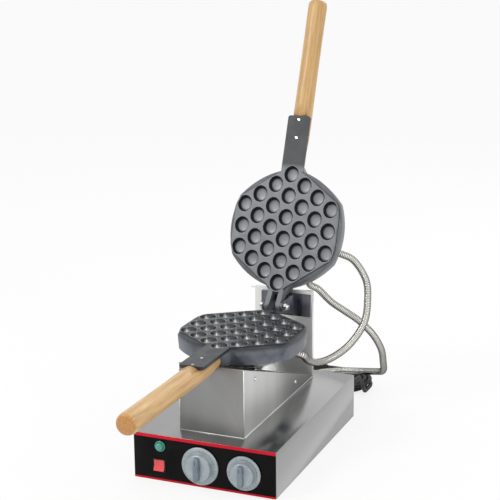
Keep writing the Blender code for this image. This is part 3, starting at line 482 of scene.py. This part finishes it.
print("stage: finishes")

makeCamera()
makeStudio()
corners = np.array([(-1, -1), (1, -1), (1, 1), (-1, 1)]) * studio["floorHalf"]
floor = newPiece("studioFloor", np.column_stack((corners, np.full(4, studio["floorZ"]))), np.array([[0, 1, 2, 3]]),
                 "paleFloor", None, False)
print("stage: camera, floor and light")

# frame nodes that stay as they are, and those that get rounded edges of a given width
stays = {
    "plainSheet": ("bottom_plate",), "whiteBlock": ("timer_works", "thermostat_works", "terminal_block"),
    "brightFastener": ("timer_shaft", "thermostat_shaft", "hinge_pin"), "lowerCasting": ("lower_pan",),
    "upperCasting": ("upper_pan",), "heaterTube": ("lower_heater", "upper_heater"),
}
for look, nodes in stays.items():
    for node in nodes:
        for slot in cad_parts[node].material_slots:
            slot.link = "OBJECT"
            slot.material = finishes[look]
rounded = {
    "base_shell": ("brushedTop", 0.0007, "stand"), "control_panel": ("panelEnamel", 0.0004, "stand"),
    "riser": ("riserSheet", 0.0009, "stand"), "upright": ("uprightSheet", 0.0006, "stand"),
    "hinge_bracket": ("darkBracket", 0.0006, "stand"), "switch_housing": ("blackMoulding", 0.0005, "stand"),
    "rocker": ("switchRed", 0.0008, "switch_rocker"),
}
for node, (look, width, body) in rounded.items():
    softened(node, width, look, body)
print("stage: sheet pieces")

# the two cooking halves, each worked out closed and flat and then put in its place
pan = {"radius": 0.1055, "centre": 0.135, "depth": 0.029, "draft": 0.0015, "flatShare": 0.284,
       "noseHalf": 0.017, "noseEnd": 0.114, "rimDrop": 0.006, "rimRound": 0.002, "fieldStep": 0.0016,
       "fieldHalf": 0.0955, "fieldEdge": 0.0925, "fieldEnd": 0.1112, "fieldZ": -0.0002, "proud": 0.00012,
       # painted shade on the rings round the field, a painted shadow in the step's groove, and how much of it each
       # half's bevel carries
       "shadeMix": (0.0, 0.15, 0.7, 1.0, 0.8), "bevelShade": {"upper": 0.35, "lower": 0.0},
       # extra rings that keep the bevel and the wall flat: after which ring, and how far on
       "flatRings": ((4, 0.05), (4, 0.94), (9, 0.5)),
       "turns": 60, "perTurn": 4, "tight": 0.35}
cup = {"width": 0.0268, "length": 0.0300, "pitch": 0.0379, "columnPitch": 0.0263,
       "columns": (3, 4, 5, 6, 5, 4, 3), "around": 48,
       # share of the mouth's half width, height
       "profile": ((1.045, -0.00014), (1.010, -0.00015), (0.990, -0.0003), (0.972, -0.0007), (0.957, -0.0013),
                   (0.915, -0.0034), (0.868, -0.0055), (0.810, -0.0073), (0.750, -0.0086), (0.700, -0.0093),
                   (0.620, -0.0098), (0.480, -0.0101), (0.340, -0.0103), (0.180, -0.0104), (0.02, -0.0104)),
       # how much painted shade each of those rows carries, for either half; on the fixed half the band it leaves bare
       # low on the wall is a painted highlight
       "shadeMix": {"upper": (0.0, 0.0, 0.25, 0.8, 1.0, 1.0, 1.0, 0.97, 0.75, 0.35, 0.08, 0.0, 0.0, 0.0, 0.0),
                "lower": (0.0, 0.0, 0.4, 1.0, 1.0, 0.9, 0.6, 0.2, 0.0, 0.2, 0.7, 0.95, 1.0, 1.0, 1.0)}}
cupSlope = math.atan2(cup["pitch"] / 2, cup["columnPitch"])


def acrossAndFore(turn):
    # how much of that direction runs across and how much fore and aft
    return np.maximum(np.abs(np.cos(turn)), 1e-9), np.maximum(np.abs(np.sin(turn)), 1e-9)


def panEdge(turn):
    # mostly a circle, a little six-sided, with a square nose at each end
    sixth = math.radians(60)
    off = (turn - math.pi / 2 + sixth / 2) % sixth - sixth / 2
    flat = pan["radius"] * math.cos(sixth / 2) / np.cos(off - np.copysign(sixth / 2, off))
    roundEdge = pan["flatShare"] * flat + (1 - pan["flatShare"]) * pan["radius"]
    across, fore = acrossAndFore(turn)
    return np.maximum(roundEdge, np.minimum(pan["noseHalf"] / across, pan["noseEnd"] / fore))


def fieldRadius(turn):
    # the nearest of the side, the slanted side and the end of the raised field, kept inside the pan's edge
    across, fore = acrossAndFore(turn)
    slant = pan["fieldEdge"] / (math.sin(cupSlope) * across + math.cos(cupSlope) * fore)
    return np.minimum.reduce((pan["fieldHalf"] / across, slant, pan["fieldEnd"] / fore,
                              panEdge(turn) - pan["rimRound"] - pan["fieldStep"] / 2))


def smoothLoop(points, per):
    # a curve through a closed row of points; each one's slope comes from its two neighbours
    before, here, beyond, last = (np.roll(points, k, axis=0)[:, None] for k in (1, 0, -1, -2))
    s = np.linspace(0, 1, per, endpoint=False)[None, :, None]
    curve = hermite(s, here, (beyond - before) * pan["tight"], beyond, (last - here) * pan["tight"])
    return curve.reshape(-1, points.shape[1])


def panRing(radiusOf, z, change):
    turn = circle(pan["turns"])
    r = radiusOf(turn) + change
    loop = smoothLoop(np.stack((r * np.cos(turn), -pan["centre"] + r * np.sin(turn)), -1), pan["perTurn"])
    return np.column_stack((loop, np.full(len(loop), z)))


def makePanRim(prefix, place, body):
    up, step, drop, rr = pan["proud"], pan["fieldStep"], pan["rimDrop"], pan["rimRound"]
    field, depth, draft = pan["fieldZ"], pan["depth"], pan["draft"]
    rows = [   # which edge it follows, its height and how far out from that edge, from the field down to the back
        (fieldRadius, field + 0.00004, -0.0016), (fieldRadius, field + 0.00004, -0.0002),
        (fieldRadius, field - 0.0003, up), (fieldRadius, field - step, step / 2 + up),
        (fieldRadius, field - step - 0.0001, step / 2 + 0.0006),
        (panEdge, -drop + rr + 0.0009, -rr - 0.0011), (panEdge, -drop + rr + up, -rr + up),
        (panEdge, -drop + 0.0009, -0.0006), (panEdge, -drop - 0.0003, up), (panEdge, -0.016, up - 0.0006),
        (panEdge, -depth + 0.0012, -draft + up), (panEdge, -depth + 0.0002, -draft - 0.0003),
        (panEdge, -depth - up, -draft - 0.0012), (panEdge, -depth - up, -0.024),
    ]
    rings = [panRing(*row) for row in rows]
    bevel = pan["bevelShade"][prefix]
    shadeMix = [*pan["shadeMix"], bevel, bevel, bevel / 2]
    shadeMix += [0.0] * (len(rows) - len(shadeMix))
    for after, share in reversed(pan["flatRings"]):
        rings.insert(after + 1, rings[after] + (rings[after + 1] - rings[after]) * share)
        shadeMix.insert(after + 1, bevel if after == 4 else 0.0)
    points, faces, _ = skin(np.stack(rings))
    obj = newPiece(prefix + "PanRim", moved(points, place), faces[:, ::-1], prefix + "Casting", body)
    addValue(obj, "paintedShade", np.repeat(shadeMix, len(rings[0])))


def makeCups(prefix, place, body):
    # one oval cup from its profile, then a copy at every place of the columns
    prof, t = np.array(cup["profile"]), circle(cup["around"])
    rings = np.stack((prof[:, :1] * cup["width"] / 2 * np.cos(t), prof[:, :1] * cup["length"] / 2 * np.sin(t),
                      prof[:, 1:] + 0 * t), -1)
    points, faces, tris = skin(rings, False, True)
    middle = len(cup["columns"]) // 2
    centres = np.array([((c - middle) * cup["columnPitch"], -pan["centre"] + (row - (n - 1) / 2) * cup["pitch"], 0)
                        for c, n in enumerate(cup["columns"]) for row in range(n)])
    allPoints = (points[None] + centres[:, None]).reshape(-1, 3)
    shift = np.arange(len(centres))[:, None, None] * len(points)
    obj = newPiece(prefix + "Cups", moved(allPoints, place), (faces[None] + shift).reshape(-1, 4),
                   prefix + "Cups", body, True, (tris[None] + shift).reshape(-1, 3))
    shadeMix = np.array(cup["shadeMix"][prefix])[:, None] + 0 * t
    if prefix == "lower":   # painted highlights on the fixed half: the bare band is kept only in four lobes round each cup, as glints of the lamps
        shadeMix = 1 - (1 - shadeMix) * (0.5 - 0.5 * np.cos(4 * t))
    addValue(obj, "paintedShade", np.tile(np.append(shadeMix.ravel(), shadeMix[-1, 0]), len(centres)))


# a low domed head with a round recess, as shares of its radius and of its height
screwHead = {"rise": 0.62, "around": 28,
             "profile": ((1.0, 0.0), (1.0, 0.25), (0.9, 0.62), (0.66, 0.9), (0.42, 1.0), (0.34, 0.92), (0.26, 0.45),
                         (0.0, 0.40))}


def screw(name, place, radius, body):
    profile = np.array(screwHead["profile"]) * (radius, radius * screwHead["rise"])
    lathe(name, profile, screwHead["around"], place, "brightFastener", body)


dish = {"radius": 0.075, "floor": 0.068, "depth": 0.0165, "wall": 0.0012, "top": -0.0293, "around": 128,
        "press": 0.0006, "screw": 0.0036}


def makeDish(prefix, place, body):
    low, r, f, w, press = -pan["depth"] - dish["depth"], dish["radius"], dish["floor"], dish["wall"], dish["press"]
    centre = place @ Matrix.Translation((0, -pan["centre"], 0))
    profile = ((0.0, low + w), (f - 0.006, low + w), (f - 0.0018, low + w + 0.0008),
               (f - w + 0.0004, low + w + 0.0035), (r - w, dish["top"]), (r, dish["top"]),
               (r + 0.0002, dish["top"] - 0.0010), (f + 0.0010, low + 0.0032), (f + 0.0002, low + 0.0016),
               (f - 0.0014, low + 0.0004), (f - 0.004, low), (f * 0.55, low), (f * 0.52, low + press),
               (f * 0.2, low + press), (0.0, low + press))
    obj = lathe(prefix + "Dish", profile, dish["around"], centre, "pressedDish", body)
    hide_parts(prefix + "_cover")
    outward = Matrix.Translation((0, 0, low + press)) @ Matrix.Rotation(math.pi, 4, "X")
    screw(prefix + "DishScrew", centre @ outward, dish["screw"], body)


handle = {"start": 0.255, "end": 0.5446, "radius": 0.0166, "axis": 0.0170, "tangEnd": 0.3335, "seat": -0.0058,
          "around": 72, "screws": (0.2945, 0.3265), "grainShift": {"lower": 0.0, "upper": 0.31},
          # a countersunk head level with the tang, its socket and a fine edge
          "flush": ((0.0024, -0.0004), (0.0024, 0.00003), (0.0021, 0.00010), (0.0012, 0.00011), (0.0010, 0.00008),
                    (0.0008, 0.00004), (0.0, 0.00004))}
tangPlate = {"root": 0.300, "half": 0.0201, "corner": 0.004, "top": -0.00012, "foot": -0.00564, "edge": 0.0001,
             "cornerPoints": 7}


def makeTangEnd(prefix, place, body):
    # the tang's rounded end, where the handle screws go in: its outline carried down through the plate
    half, c, end, edge = tangPlate["half"], tangPlate["corner"], handle["tangEnd"], tangPlate["edge"]
    t = np.linspace(0, math.pi / 2, tangPlate["cornerPoints"])
    left = np.column_stack((-half + c - c * np.cos(t), -end + c - c * np.sin(t)))
    right = np.column_stack((half - c + c * np.sin(t), -end + c - c * np.cos(t)))
    outline = np.vstack(((-half, -tangPlate["root"]), left, right, (half, -tangPlate["root"])))
    middle = np.array((0, -(end + tangPlate["root"]) / 2))
    rings = [np.column_stack((outline - inset * np.sign(outline - middle), np.full(len(outline), z)))
             for z, inset in ((tangPlate["top"], edge), (tangPlate["top"] - edge, 0),
                              (tangPlate["foot"] + edge, 0), (tangPlate["foot"], edge))]
    points, faces, tris = skin(np.stack(rings), True, True)
    newPiece(prefix + "TangEnd", moved(points, place), faces[:, ::-1], prefix + "Casting", body, False,
             tris[:, ::-1])


def makeHandle(prefix, place, body):
    s, e, r, length = handle["start"], handle["end"], handle["radius"], handle["end"] - handle["start"]
    tang = handle["tangEnd"]
    row = np.array([   # distance from the hinge, share of the full radius
        (s, 0.0), (s, 0.80), (s + 0.0004, 0.83), (s + 0.0012, 0.845), (s + length * 0.035, 0.85),
        (s + length * 0.07, 0.90), (s + length * 0.13, 0.985), (tang + 0.00028, 1.0), (tang + 0.00032, 1.0),
        (s + length * 0.35, 0.985), (s + length * 0.55, 0.97), (s + length * 0.78, 0.978), (e - 0.015, 1.0),
        (e - 0.0095, 0.998), (e - 0.005, 0.965), (e - 0.0024, 0.885), (e - 0.0010, 0.78), (e - 0.0003, 0.60),
        (e, 0.40), (e, 0.0)])
    t = circle(handle["around"])
    x, z = row[:, 1:] * r * np.cos(t), -handle["axis"] + row[:, 1:] * r * np.sin(t)
    y = -row[:, :1] + 0 * t
    lap = (row[:, :1] <= tang + fitGap) + 0 * t > 0   # the top is flat under the tang
    z = np.where(lap, np.minimum(z, handle["seat"]), z)
    points, faces, _ = skin(np.stack((x, y, z), -1))
    obj = newPiece(prefix + "Wood", moved(points, place), faces, "honeyWood", body)
    local = obj.data.attributes.new("grainPlace", "FLOAT_VECTOR", "POINT")
    local.data.foreach_set("vector", (points + handle["grainShift"][prefix]).ravel())
    addValue(obj, "endGrain", np.repeat(np.interp(row[:, 0], (e - 0.005, e - 0.001), (0, 1)), handle["around"]))
    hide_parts(prefix + "_handle")
    for i, y in enumerate(handle["screws"]):
        lathe(prefix + "TangScrew%d" % i, handle["flush"], 32, place @ Matrix.Translation((0, -y, pan["fieldZ"])),
              "brightFastener", body)


for prefix, place, body in halves:
    for make in (makePanRim, makeCups, makeDish, makeTangEnd, makeHandle):
        make(prefix, place, body)
print("stage: cooking halves")

# cap nut on the hinge pin: radius, height and how six-sided
nut = {"x": 0.0188, "around": 48,
       "profile": ((0.0, 0.0, 0), (0.0058, 0.0, 0), (0.0065, 0.0006, 1), (0.0065, 0.0048, 1), (0.0060, 0.0054, 0.4),
                   (0.0053, 0.0062, 0), (0.0046, 0.0076, 0), (0.0030, 0.0090, 0), (0.0, 0.0096, 0))}
nutPiece = lathe("capNut", nut["profile"], nut["around"], along((nut["x"], hinge["y"], hinge["z"]), (1, 0, 0)),
                 "brightFastener", "stand")
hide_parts("pin_nut")

riserScrews = {"radius": 0.0034, "places": {"a": (0.0546, -0.110, 0.159), "b": (0.0546, 0.066, 0.095)}}
for key, (x, y, z) in riserScrews["places"].items():
    for side in (-1, 1):
        screw("riserScrew%s%d" % (key, side), along((side * x, y, z), (side, 0, 0)), riserScrews["radius"], "stand")

# rolled edges of the riser, its foot and the two front folds, in the brighter upright steel as painted highlights
# along them
bead = {"radius": 0.0008, "around": 16, "lift": 0.0007}
low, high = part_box("riser")


def makeBead(name, start, direction, length):
    r = bead["radius"]
    lathe(name, ((0, 0), (r, 0), (r, length), (0, length)), bead["around"], along(start, direction),
          "uprightSheet", "stand")


footZ = low[2] + bead["lift"]
for side, x in (("Left", low[0]), ("Right", high[0])):
    makeBead("riserFold" + side, (x, low[1], footZ), (0, 0, 1), high[2] - low[2] - 2 * bead["lift"])
    makeBead("riserFoot" + side, (x, low[1], footZ), (0, 1, 0), high[1] - low[1] - 2 * bead["lift"])
makeBead("riserFootFront", (low[0], low[1], footZ), (1, 0, 0), high[0] - low[0])

# controls on the panel's face
dials = {
    "timer": {"x": -0.00528, "z": 0.03553, "radius": 0.031, "joint": "timer", "marks": 30},
    "thermostat": {"x": 0.06792, "z": 0.03531, "radius": 0.028, "joint": "thermostat", "marks": 24},
}
dialForm = {"gap": 0.0012, "around": 96, "core": 0.73, "ribHalf": 0.15, "ribInset": 0.0030, "ribAround": 64,
            "ribSquare": 0.45,
            # share of the rib's half width, share of its reach, height
            "rib": ((1.15, 1.0, 0.0105), (1.08, 1.0, 0.0150), (1.0, 0.985, 0.0182), (0.84, 0.96, 0.0195),
                    (0.5, 0.90, 0.0200)),
            "pointer": {"half": 0.0005, "halfLengthShare": 0.2, "atShare": 0.62, "thick": 0.0001, "z": 0.01995},
            "mark": {"half": 0.00022, "long": 0.0016, "short": 0.0009, "longEvery": 5, "thick": 0.00008,
                     "inset": 0.0046, "z": 0.00296, "shownShare": 0.86}}


def onPanel(x, z, gap):
    # a place on the panel whose height axis points out of it
    return Matrix.Translation((x, panelY - gap, z)) @ Matrix.Rotation(math.pi / 2, 4, "X")


def makeDial(name, d):
    place = onPanel(d["x"], d["z"], dialForm["gap"])
    r, core = d["radius"], d["radius"] * dialForm["core"]
    profile = ((0.0, 0.0), (r - 0.0006, 0.0), (r, 0.0005), (r, 0.0012), (r - 0.0005, 0.0022), (r - 0.0016, 0.0029),
               (core + 0.0012, 0.0030), (core + 0.0004, 0.0026), (core, 0.0032), (core - 0.0004, 0.0055),
               (core - 0.0010, 0.0102), (core - 0.0018, 0.0116), (core - 0.0036, 0.0124), (core * 0.5, 0.0127),
               (0.0, 0.0128))
    body = lathe(name + "Dial", profile, dialForm["around"], place, "dialSilver", d["joint"])
    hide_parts(name + "_dial")
    # grip rib: a rounded bar across the core, its rings run from the dial's face outwards
    half, reach, t = r * dialForm["ribHalf"], core - dialForm["ribInset"], circle(dialForm["ribAround"])
    x, y = (np.sign(v) * np.abs(v) ** dialForm["ribSquare"] for v in (np.cos(t), np.sin(t)))
    rings = np.stack([np.stack((half * a * x, reach * b * y, 0 * t + z), -1) for a, b, z in dialForm["rib"]])
    points, faces, tris = skin(rings, False, True)
    newPiece(name + "Rib", moved(points, place), faces, "dialRib", d["joint"], True, tris)
    # a dark pointer line on the rib and fine marks round the flange, each a small box
    box = np.array([(x, y, z) for z in (0, 1) for x, y in ((-1, -1), (1, -1), (1, 1), (-1, 1))], float)
    boxFaces = np.array([(0, 3, 2, 1), (4, 5, 6, 7), (0, 1, 5, 4), (1, 2, 6, 5), (2, 3, 7, 6), (3, 0, 4, 7)])
    line, mark = dialForm["pointer"], dialForm["mark"]
    points = [box * (line["half"], reach * line["halfLengthShare"], line["thick"])
              + (0, reach * line["atShare"], line["z"])]
    for k in range(math.ceil(d["marks"] * mark["shownShare"])):
        a = math.pi / 2 - 2 * math.pi * k / d["marks"]
        c, s, length = math.cos(a), math.sin(a), mark["short" if k % mark["longEvery"] else "long"]
        stroke = box * (length, mark["half"], mark["thick"]) + (r - mark["inset"], 0, mark["z"])
        points.append(stroke @ np.array(((c, s, 0), (-s, c, 0), (0, 0, 1))))
    faces = (boxFaces[None] + np.arange(len(points))[:, None, None] * len(box)).reshape(-1, 4)
    newPiece(name + "Marks", moved(np.vstack(points), place), faces, "dialMark", d["joint"], False)


for name, d in dials.items():
    makeDial(name, d)

lamp = {"x": -0.07416, "z": 0.05783, "gap": 0.0003, "around": 64,
        "bezel": ((0.0060, 0.0), (0.0088, 0.0), (0.0090, 0.0006), (0.0086, 0.0014), (0.0076, 0.0018),
                  (0.0070, 0.0016), (0.0068, 0.0008), (0.0, 0.0008)),
        "lens": ((0.0066, 0.0006), (0.0066, 0.0030), (0.0063, 0.0042), (0.0054, 0.0052), (0.0040, 0.0059),
                 (0.0022, 0.0063), (0.0, 0.0064))}
for name, key, node in (("lampBezel", "bezel", "lamp_body"), ("lampLens", "lens", "lamp_lens")):
    lampPiece = lathe(name, lamp[key], lamp["around"], onPanel(lamp["x"], lamp["z"], lamp["gap"]),
                      "lampGreen", "stand")
    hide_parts(node)
print("stage: controls")

# steel hoses and the glands that they end in
gland = {"around": 48, "length": 0.0135,
         "profile": ((0.0, 0.0, 0), (0.0076, 0.0, 0), (0.0082, 0.0005, 1), (0.0082, 0.0048, 1), (0.0078, 0.0055, 0.5),
                     (0.0068, 0.0060, 0), (0.0070, 0.0066, 0), (0.0074, 0.0070, 0), (0.0076, 0.0076, 0),
                     (0.0076, 0.0118, 0), (0.0073, 0.0130, 0), (0.0064, 0.0135, 0), (0.0, 0.0135, 0))}
hose = {"crest": 0.0063, "valley": 0.00575, "pitch": 0.0030, "steps": 6, "around": 24, "pathStep": 0.004,
        "grooveShade": 0.75, "crestShare": 0.7}
coverLean = math.atan2(dish["radius"] - dish["floor"], dish["depth"])


def glandSeat(degrees, side, place):
    # a point half way up the dish's sloping wall, and the way straight out of it
    angle = math.radians(degrees)
    radius, z = (dish["radius"] + dish["floor"]) / 2, -pan["depth"] - fitGap - dish["depth"] / 2
    lean = math.cos(coverLean)
    out = Vector((side * math.cos(angle) * lean, math.sin(angle) * lean, -math.sin(coverLean)))
    point = Vector((side * radius * math.cos(angle), -pan["centre"] + radius * math.sin(angle), z)) + out * 2 * fitGap
    return place @ point, (place.to_3x3() @ out).normalized()


def smoothRoute(points, steps=14):
    # a curve through the points; each slope weighs the two gaps beside it, and both ends run straight
    points = [np.array(p, float) for p in points]
    gaps = [math.sqrt(np.linalg.norm(b - a)) for a, b in zip(points, points[1:])]
    slopes = [(points[1] - points[0]) / gaps[0]]
    for i in range(1, len(points) - 1):
        before, after = (points[i] - points[i - 1]) / gaps[i - 1], (points[i + 1] - points[i]) / gaps[i]
        slopes.append((before * gaps[i] + after * gaps[i - 1]) / (gaps[i] + gaps[i - 1]))
    slopes.append((points[-1] - points[-2]) / gaps[-1])
    slopes[1], slopes[-2] = slopes[0], slopes[-1]
    s = np.linspace(0, 1, steps, endpoint=False)[:, None]
    spans = [hermite(s, points[i], gap * slopes[i], points[i + 1], gap * slopes[i + 1]) for i, gap in enumerate(gaps)]
    return np.vstack((*spans, points[-1]))


def evenly(points, step):
    # the same curve with points about one step apart, and its length
    marks = np.concatenate(([0], np.cumsum(np.linalg.norm(np.diff(points, axis=0), axis=1))))
    want = np.linspace(0, marks[-1], max(2, round(marks[-1] / step)) + 1)
    return np.stack([np.interp(want, marks, points[:, k]) for k in range(3)], -1), marks[-1]


def makeGland(name, world, direction, node, body):
    obj = lathe(name, gland["profile"], gland["around"], along(world, direction), "brightFastener", body)
    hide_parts(node)


def makeHose(name, node, startAt, middle, endAt):
    # a ribbed tube: a circle swept along the route, its radius going up and down once in each pitch
    straight = 2 * hose["crest"]
    first = [startAt[0], startAt[0] + startAt[1] * straight]
    last = [endAt[0] + endAt[1] * straight, endAt[0]]
    route = smoothRoute(first + list(middle) + last)
    marks, length = evenly(route, hose["pitch"] / hose["steps"])
    wave = 0.5 - 0.5 * np.cos(2 * np.pi * np.arange(len(marks)) / hose["steps"])
    radii = hose["valley"] + (hose["crest"] - hose["valley"]) * wave ** hose["crestShare"]
    points, faces, tris = skin(sweep(marks, radii, hose["around"]), True, True)
    obj = newPiece(name, points, faces, "ribbedConduit", None, True, tris)
    # painted shade in the grooves between the ribs
    shadeMix = np.repeat(hose["grooveShade"] * (1 - wave), hose["around"])
    addValue(obj, "paintedShade", np.concatenate((shadeMix, (0.5, 0.5))))
    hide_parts(node)
    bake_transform(obj)
    print(name, "length", round(length, 4), "faces", len(faces))


def tip(seat):
    return seat[0] + seat[1] * (gland["length"] + fitGap), seat[1]


lowerSeat = glandSeat(25, 1, lowerPlace)
upperSeatA, upperSeatB = glandSeat(18, -1, upperPlace), glandSeat(64, -1, upperPlace)
rearSeat = (Vector((0.018, rearY + fitGap, 0.0440)), Vector((0, 1, 0)))
makeGland("lowerGland", *lowerSeat, "lower_gland", "stand")
makeGland("upperGlandA", *upperSeatA, "upper_gland_a", "upper_half")
makeGland("upperGlandB", *upperSeatB, "upper_gland_b", "upper_half")
makeGland("rearGland", *rearSeat, "base_gland", "stand")
makeHose("shortHose", "hose_upper_lower", tip(upperSeatA),
         ((0.111, 0.199, 0.281), (0.135, 0.200, 0.246), (0.142, 0.188, 0.211), (0.143, 0.167, 0.180),
          (0.128, 0.134, 0.149), (0.108, 0.098, 0.134), (0.095, 0.062, 0.136), (0.089, 0.034, 0.149)),
         tip(lowerSeat))
makeHose("longHose", "hose_base_upper", tip(upperSeatB),
         ((0.0555, 0.176, 0.229), (0.076, 0.187, 0.205), (0.099, 0.201, 0.185), (0.119, 0.214, 0.167),
          (0.140, 0.231, 0.138), (0.150, 0.246, 0.109), (0.148, 0.266, 0.080), (0.139, 0.296, 0.051),
          (0.115, 0.326, 0.036), (0.081, 0.340, 0.028), (0.049, 0.334, 0.027), (0.027, 0.308, 0.031),
          (0.019, 0.272, 0.038)),
         tip(rearSeat))
print("stage: hoses")

# power cord: out of its relief, down to the table and into a flat double coil
cord = {"radius": 0.00375, "x": 0.105, "z": 0.0460, "reliefLength": 0.046, "lead": 0.015, "around": 16,
        "down": ((0.1050, 0.271, 0.036), (0.1045, 0.288, 0.016)), "freeStep": 0.004, "step": 0.0035,
        "coilX": 0.053, "coilY": 0.331, "coilRadius": 0.050, "pitch": 0.0093, "rise": 0.0085, "turns": 5.25,
        "perTurn": 48, "leadIn": 0.010, "leadOut": 0.050, "outPoints": 12}


def makeCord():
    # the coil winds inwards for half its turns, climbs one layer in half a turn and winds outwards again
    floorZ = cord["radius"] + fitGap
    start = np.array((cord["x"], rearY + fitGap + cord["reliefLength"] + fitGap, cord["z"]))
    coilStart = np.array((cord["coilX"] + cord["coilRadius"], cord["coilY"] - cord["leadIn"], floorZ))
    lead = np.array((0, cord["lead"], 0))
    freeEnd = coilStart - (0, fitGap, 0)
    free, _ = evenly(smoothRoute([start, start + lead, *cord["down"], freeEnd - lead, freeEnd]), cord["freeStep"])
    turns = np.arange(round(cord["turns"] * cord["perTurn"]) + 1) / cord["perTurn"]
    reverse = cord["turns"] / 2 - 0.25
    share = np.clip((turns - reverse) / 0.5, 0, 1)
    ease = share * share * (3 - 2 * share)
    inward = np.minimum(turns, reverse) - np.maximum(0, turns - reverse - 0.5)
    r = cord["coilRadius"] - cord["pitch"] * inward
    coil = np.stack((cord["coilX"] + r * np.cos(2 * np.pi * turns), cord["coilY"] + r * np.sin(2 * np.pi * turns),
                     floorZ + cord["rise"] * ease), -1)
    end = coil[-1] + (-cord["leadOut"], 0, 0)
    out = np.linspace(coil[-1], end, cord["outPoints"])[1:]
    path, length = evenly(np.vstack((free, coil, out)), cord["step"])
    points, faces, tris = skin(sweep(path, np.full(len(path), cord["radius"]), cord["around"]), True, True)
    obj = newPiece("powerCord", points, faces, "cordRubber", "stand", True, tris)
    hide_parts("power_cord", "cord_coil")
    return obj, path, length, end


cordPiece, cordPath, cordLength, cordEnd = makeCord()

# strain relief: a collar and ribs that get thinner towards the cord
relief = {"around": 48, "ribs": 8, "first": 0.0116, "pitch": 0.0042, "radius": 0.0080, "thinner": 0.00045,
          "groove": 0.0012,
          "collar": ((0.0, -0.0010), (0.0068, 0.0), (0.0090, 0.0), (0.0090, 0.0100), (0.0084, 0.0108)),
          "tip": ((0.0044, 0.0455), (0.0040, 0.0460), (0.0, 0.0460))}
profile = list(relief["collar"])
for k in range(relief["ribs"]):
    y, r, groove = relief["first"] + relief["pitch"] * k, relief["radius"] - relief["thinner"] * k, relief["groove"]
    profile += [(r - groove, y), (r, y + 0.0006), (r, y + 0.0024), (r - groove, y + 0.0030)]
profile += relief["tip"]
reliefPiece = lathe("cordRelief", profile, relief["around"], along((cord["x"], rearY + fitGap, cord["z"]), (0, 1, 0)),
                    "cordRubber", "stand")
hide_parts("cord_gland")

plug = {"around": 64, "pinAround": 28, "pinSide": 0.0076, "pinFrom": 0.0335,
        "body": ((0.0, 0.0), (0.0046, 0.0), (0.0050, 0.0015), (0.0050, 0.0058), (0.0058, 0.0066), (0.0062, 0.0090),
                 (0.0072, 0.0120), (0.0080, 0.0130), (0.0079, 0.0142), (0.0086, 0.0148), (0.0087, 0.0160),
                 (0.0090, 0.0166), (0.0090, 0.0178), (0.0102, 0.0200), (0.0105, 0.0210), (0.0105, 0.0332),
                 (0.0100, 0.0338), (0.0092, 0.0340), (0.0, 0.0340)),
        "pin": ((0.0024, 0.0), (0.0024, 0.0165), (0.0020, 0.0178), (0.0012, 0.0184), (0.0, 0.0185))}
plugPlace = along(Vector(cordEnd) + Vector((-fitGap, 0, 0)), (-1, 0, 0))
plugPiece = lathe("plugBody", plug["body"], plug["around"], plugPlace, "cordRubber", "stand")
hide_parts("plug")
pinPieces = [lathe("plugPin%d" % k, plug["pin"], plug["pinAround"],
                   plugPlace @ Matrix.Translation((side * plug["pinSide"], 0, plug["pinFrom"])),
                   "plugPins", "stand")
             for k, side in enumerate((-1, 1))]
print("stage: cord", round(cordLength, 4))
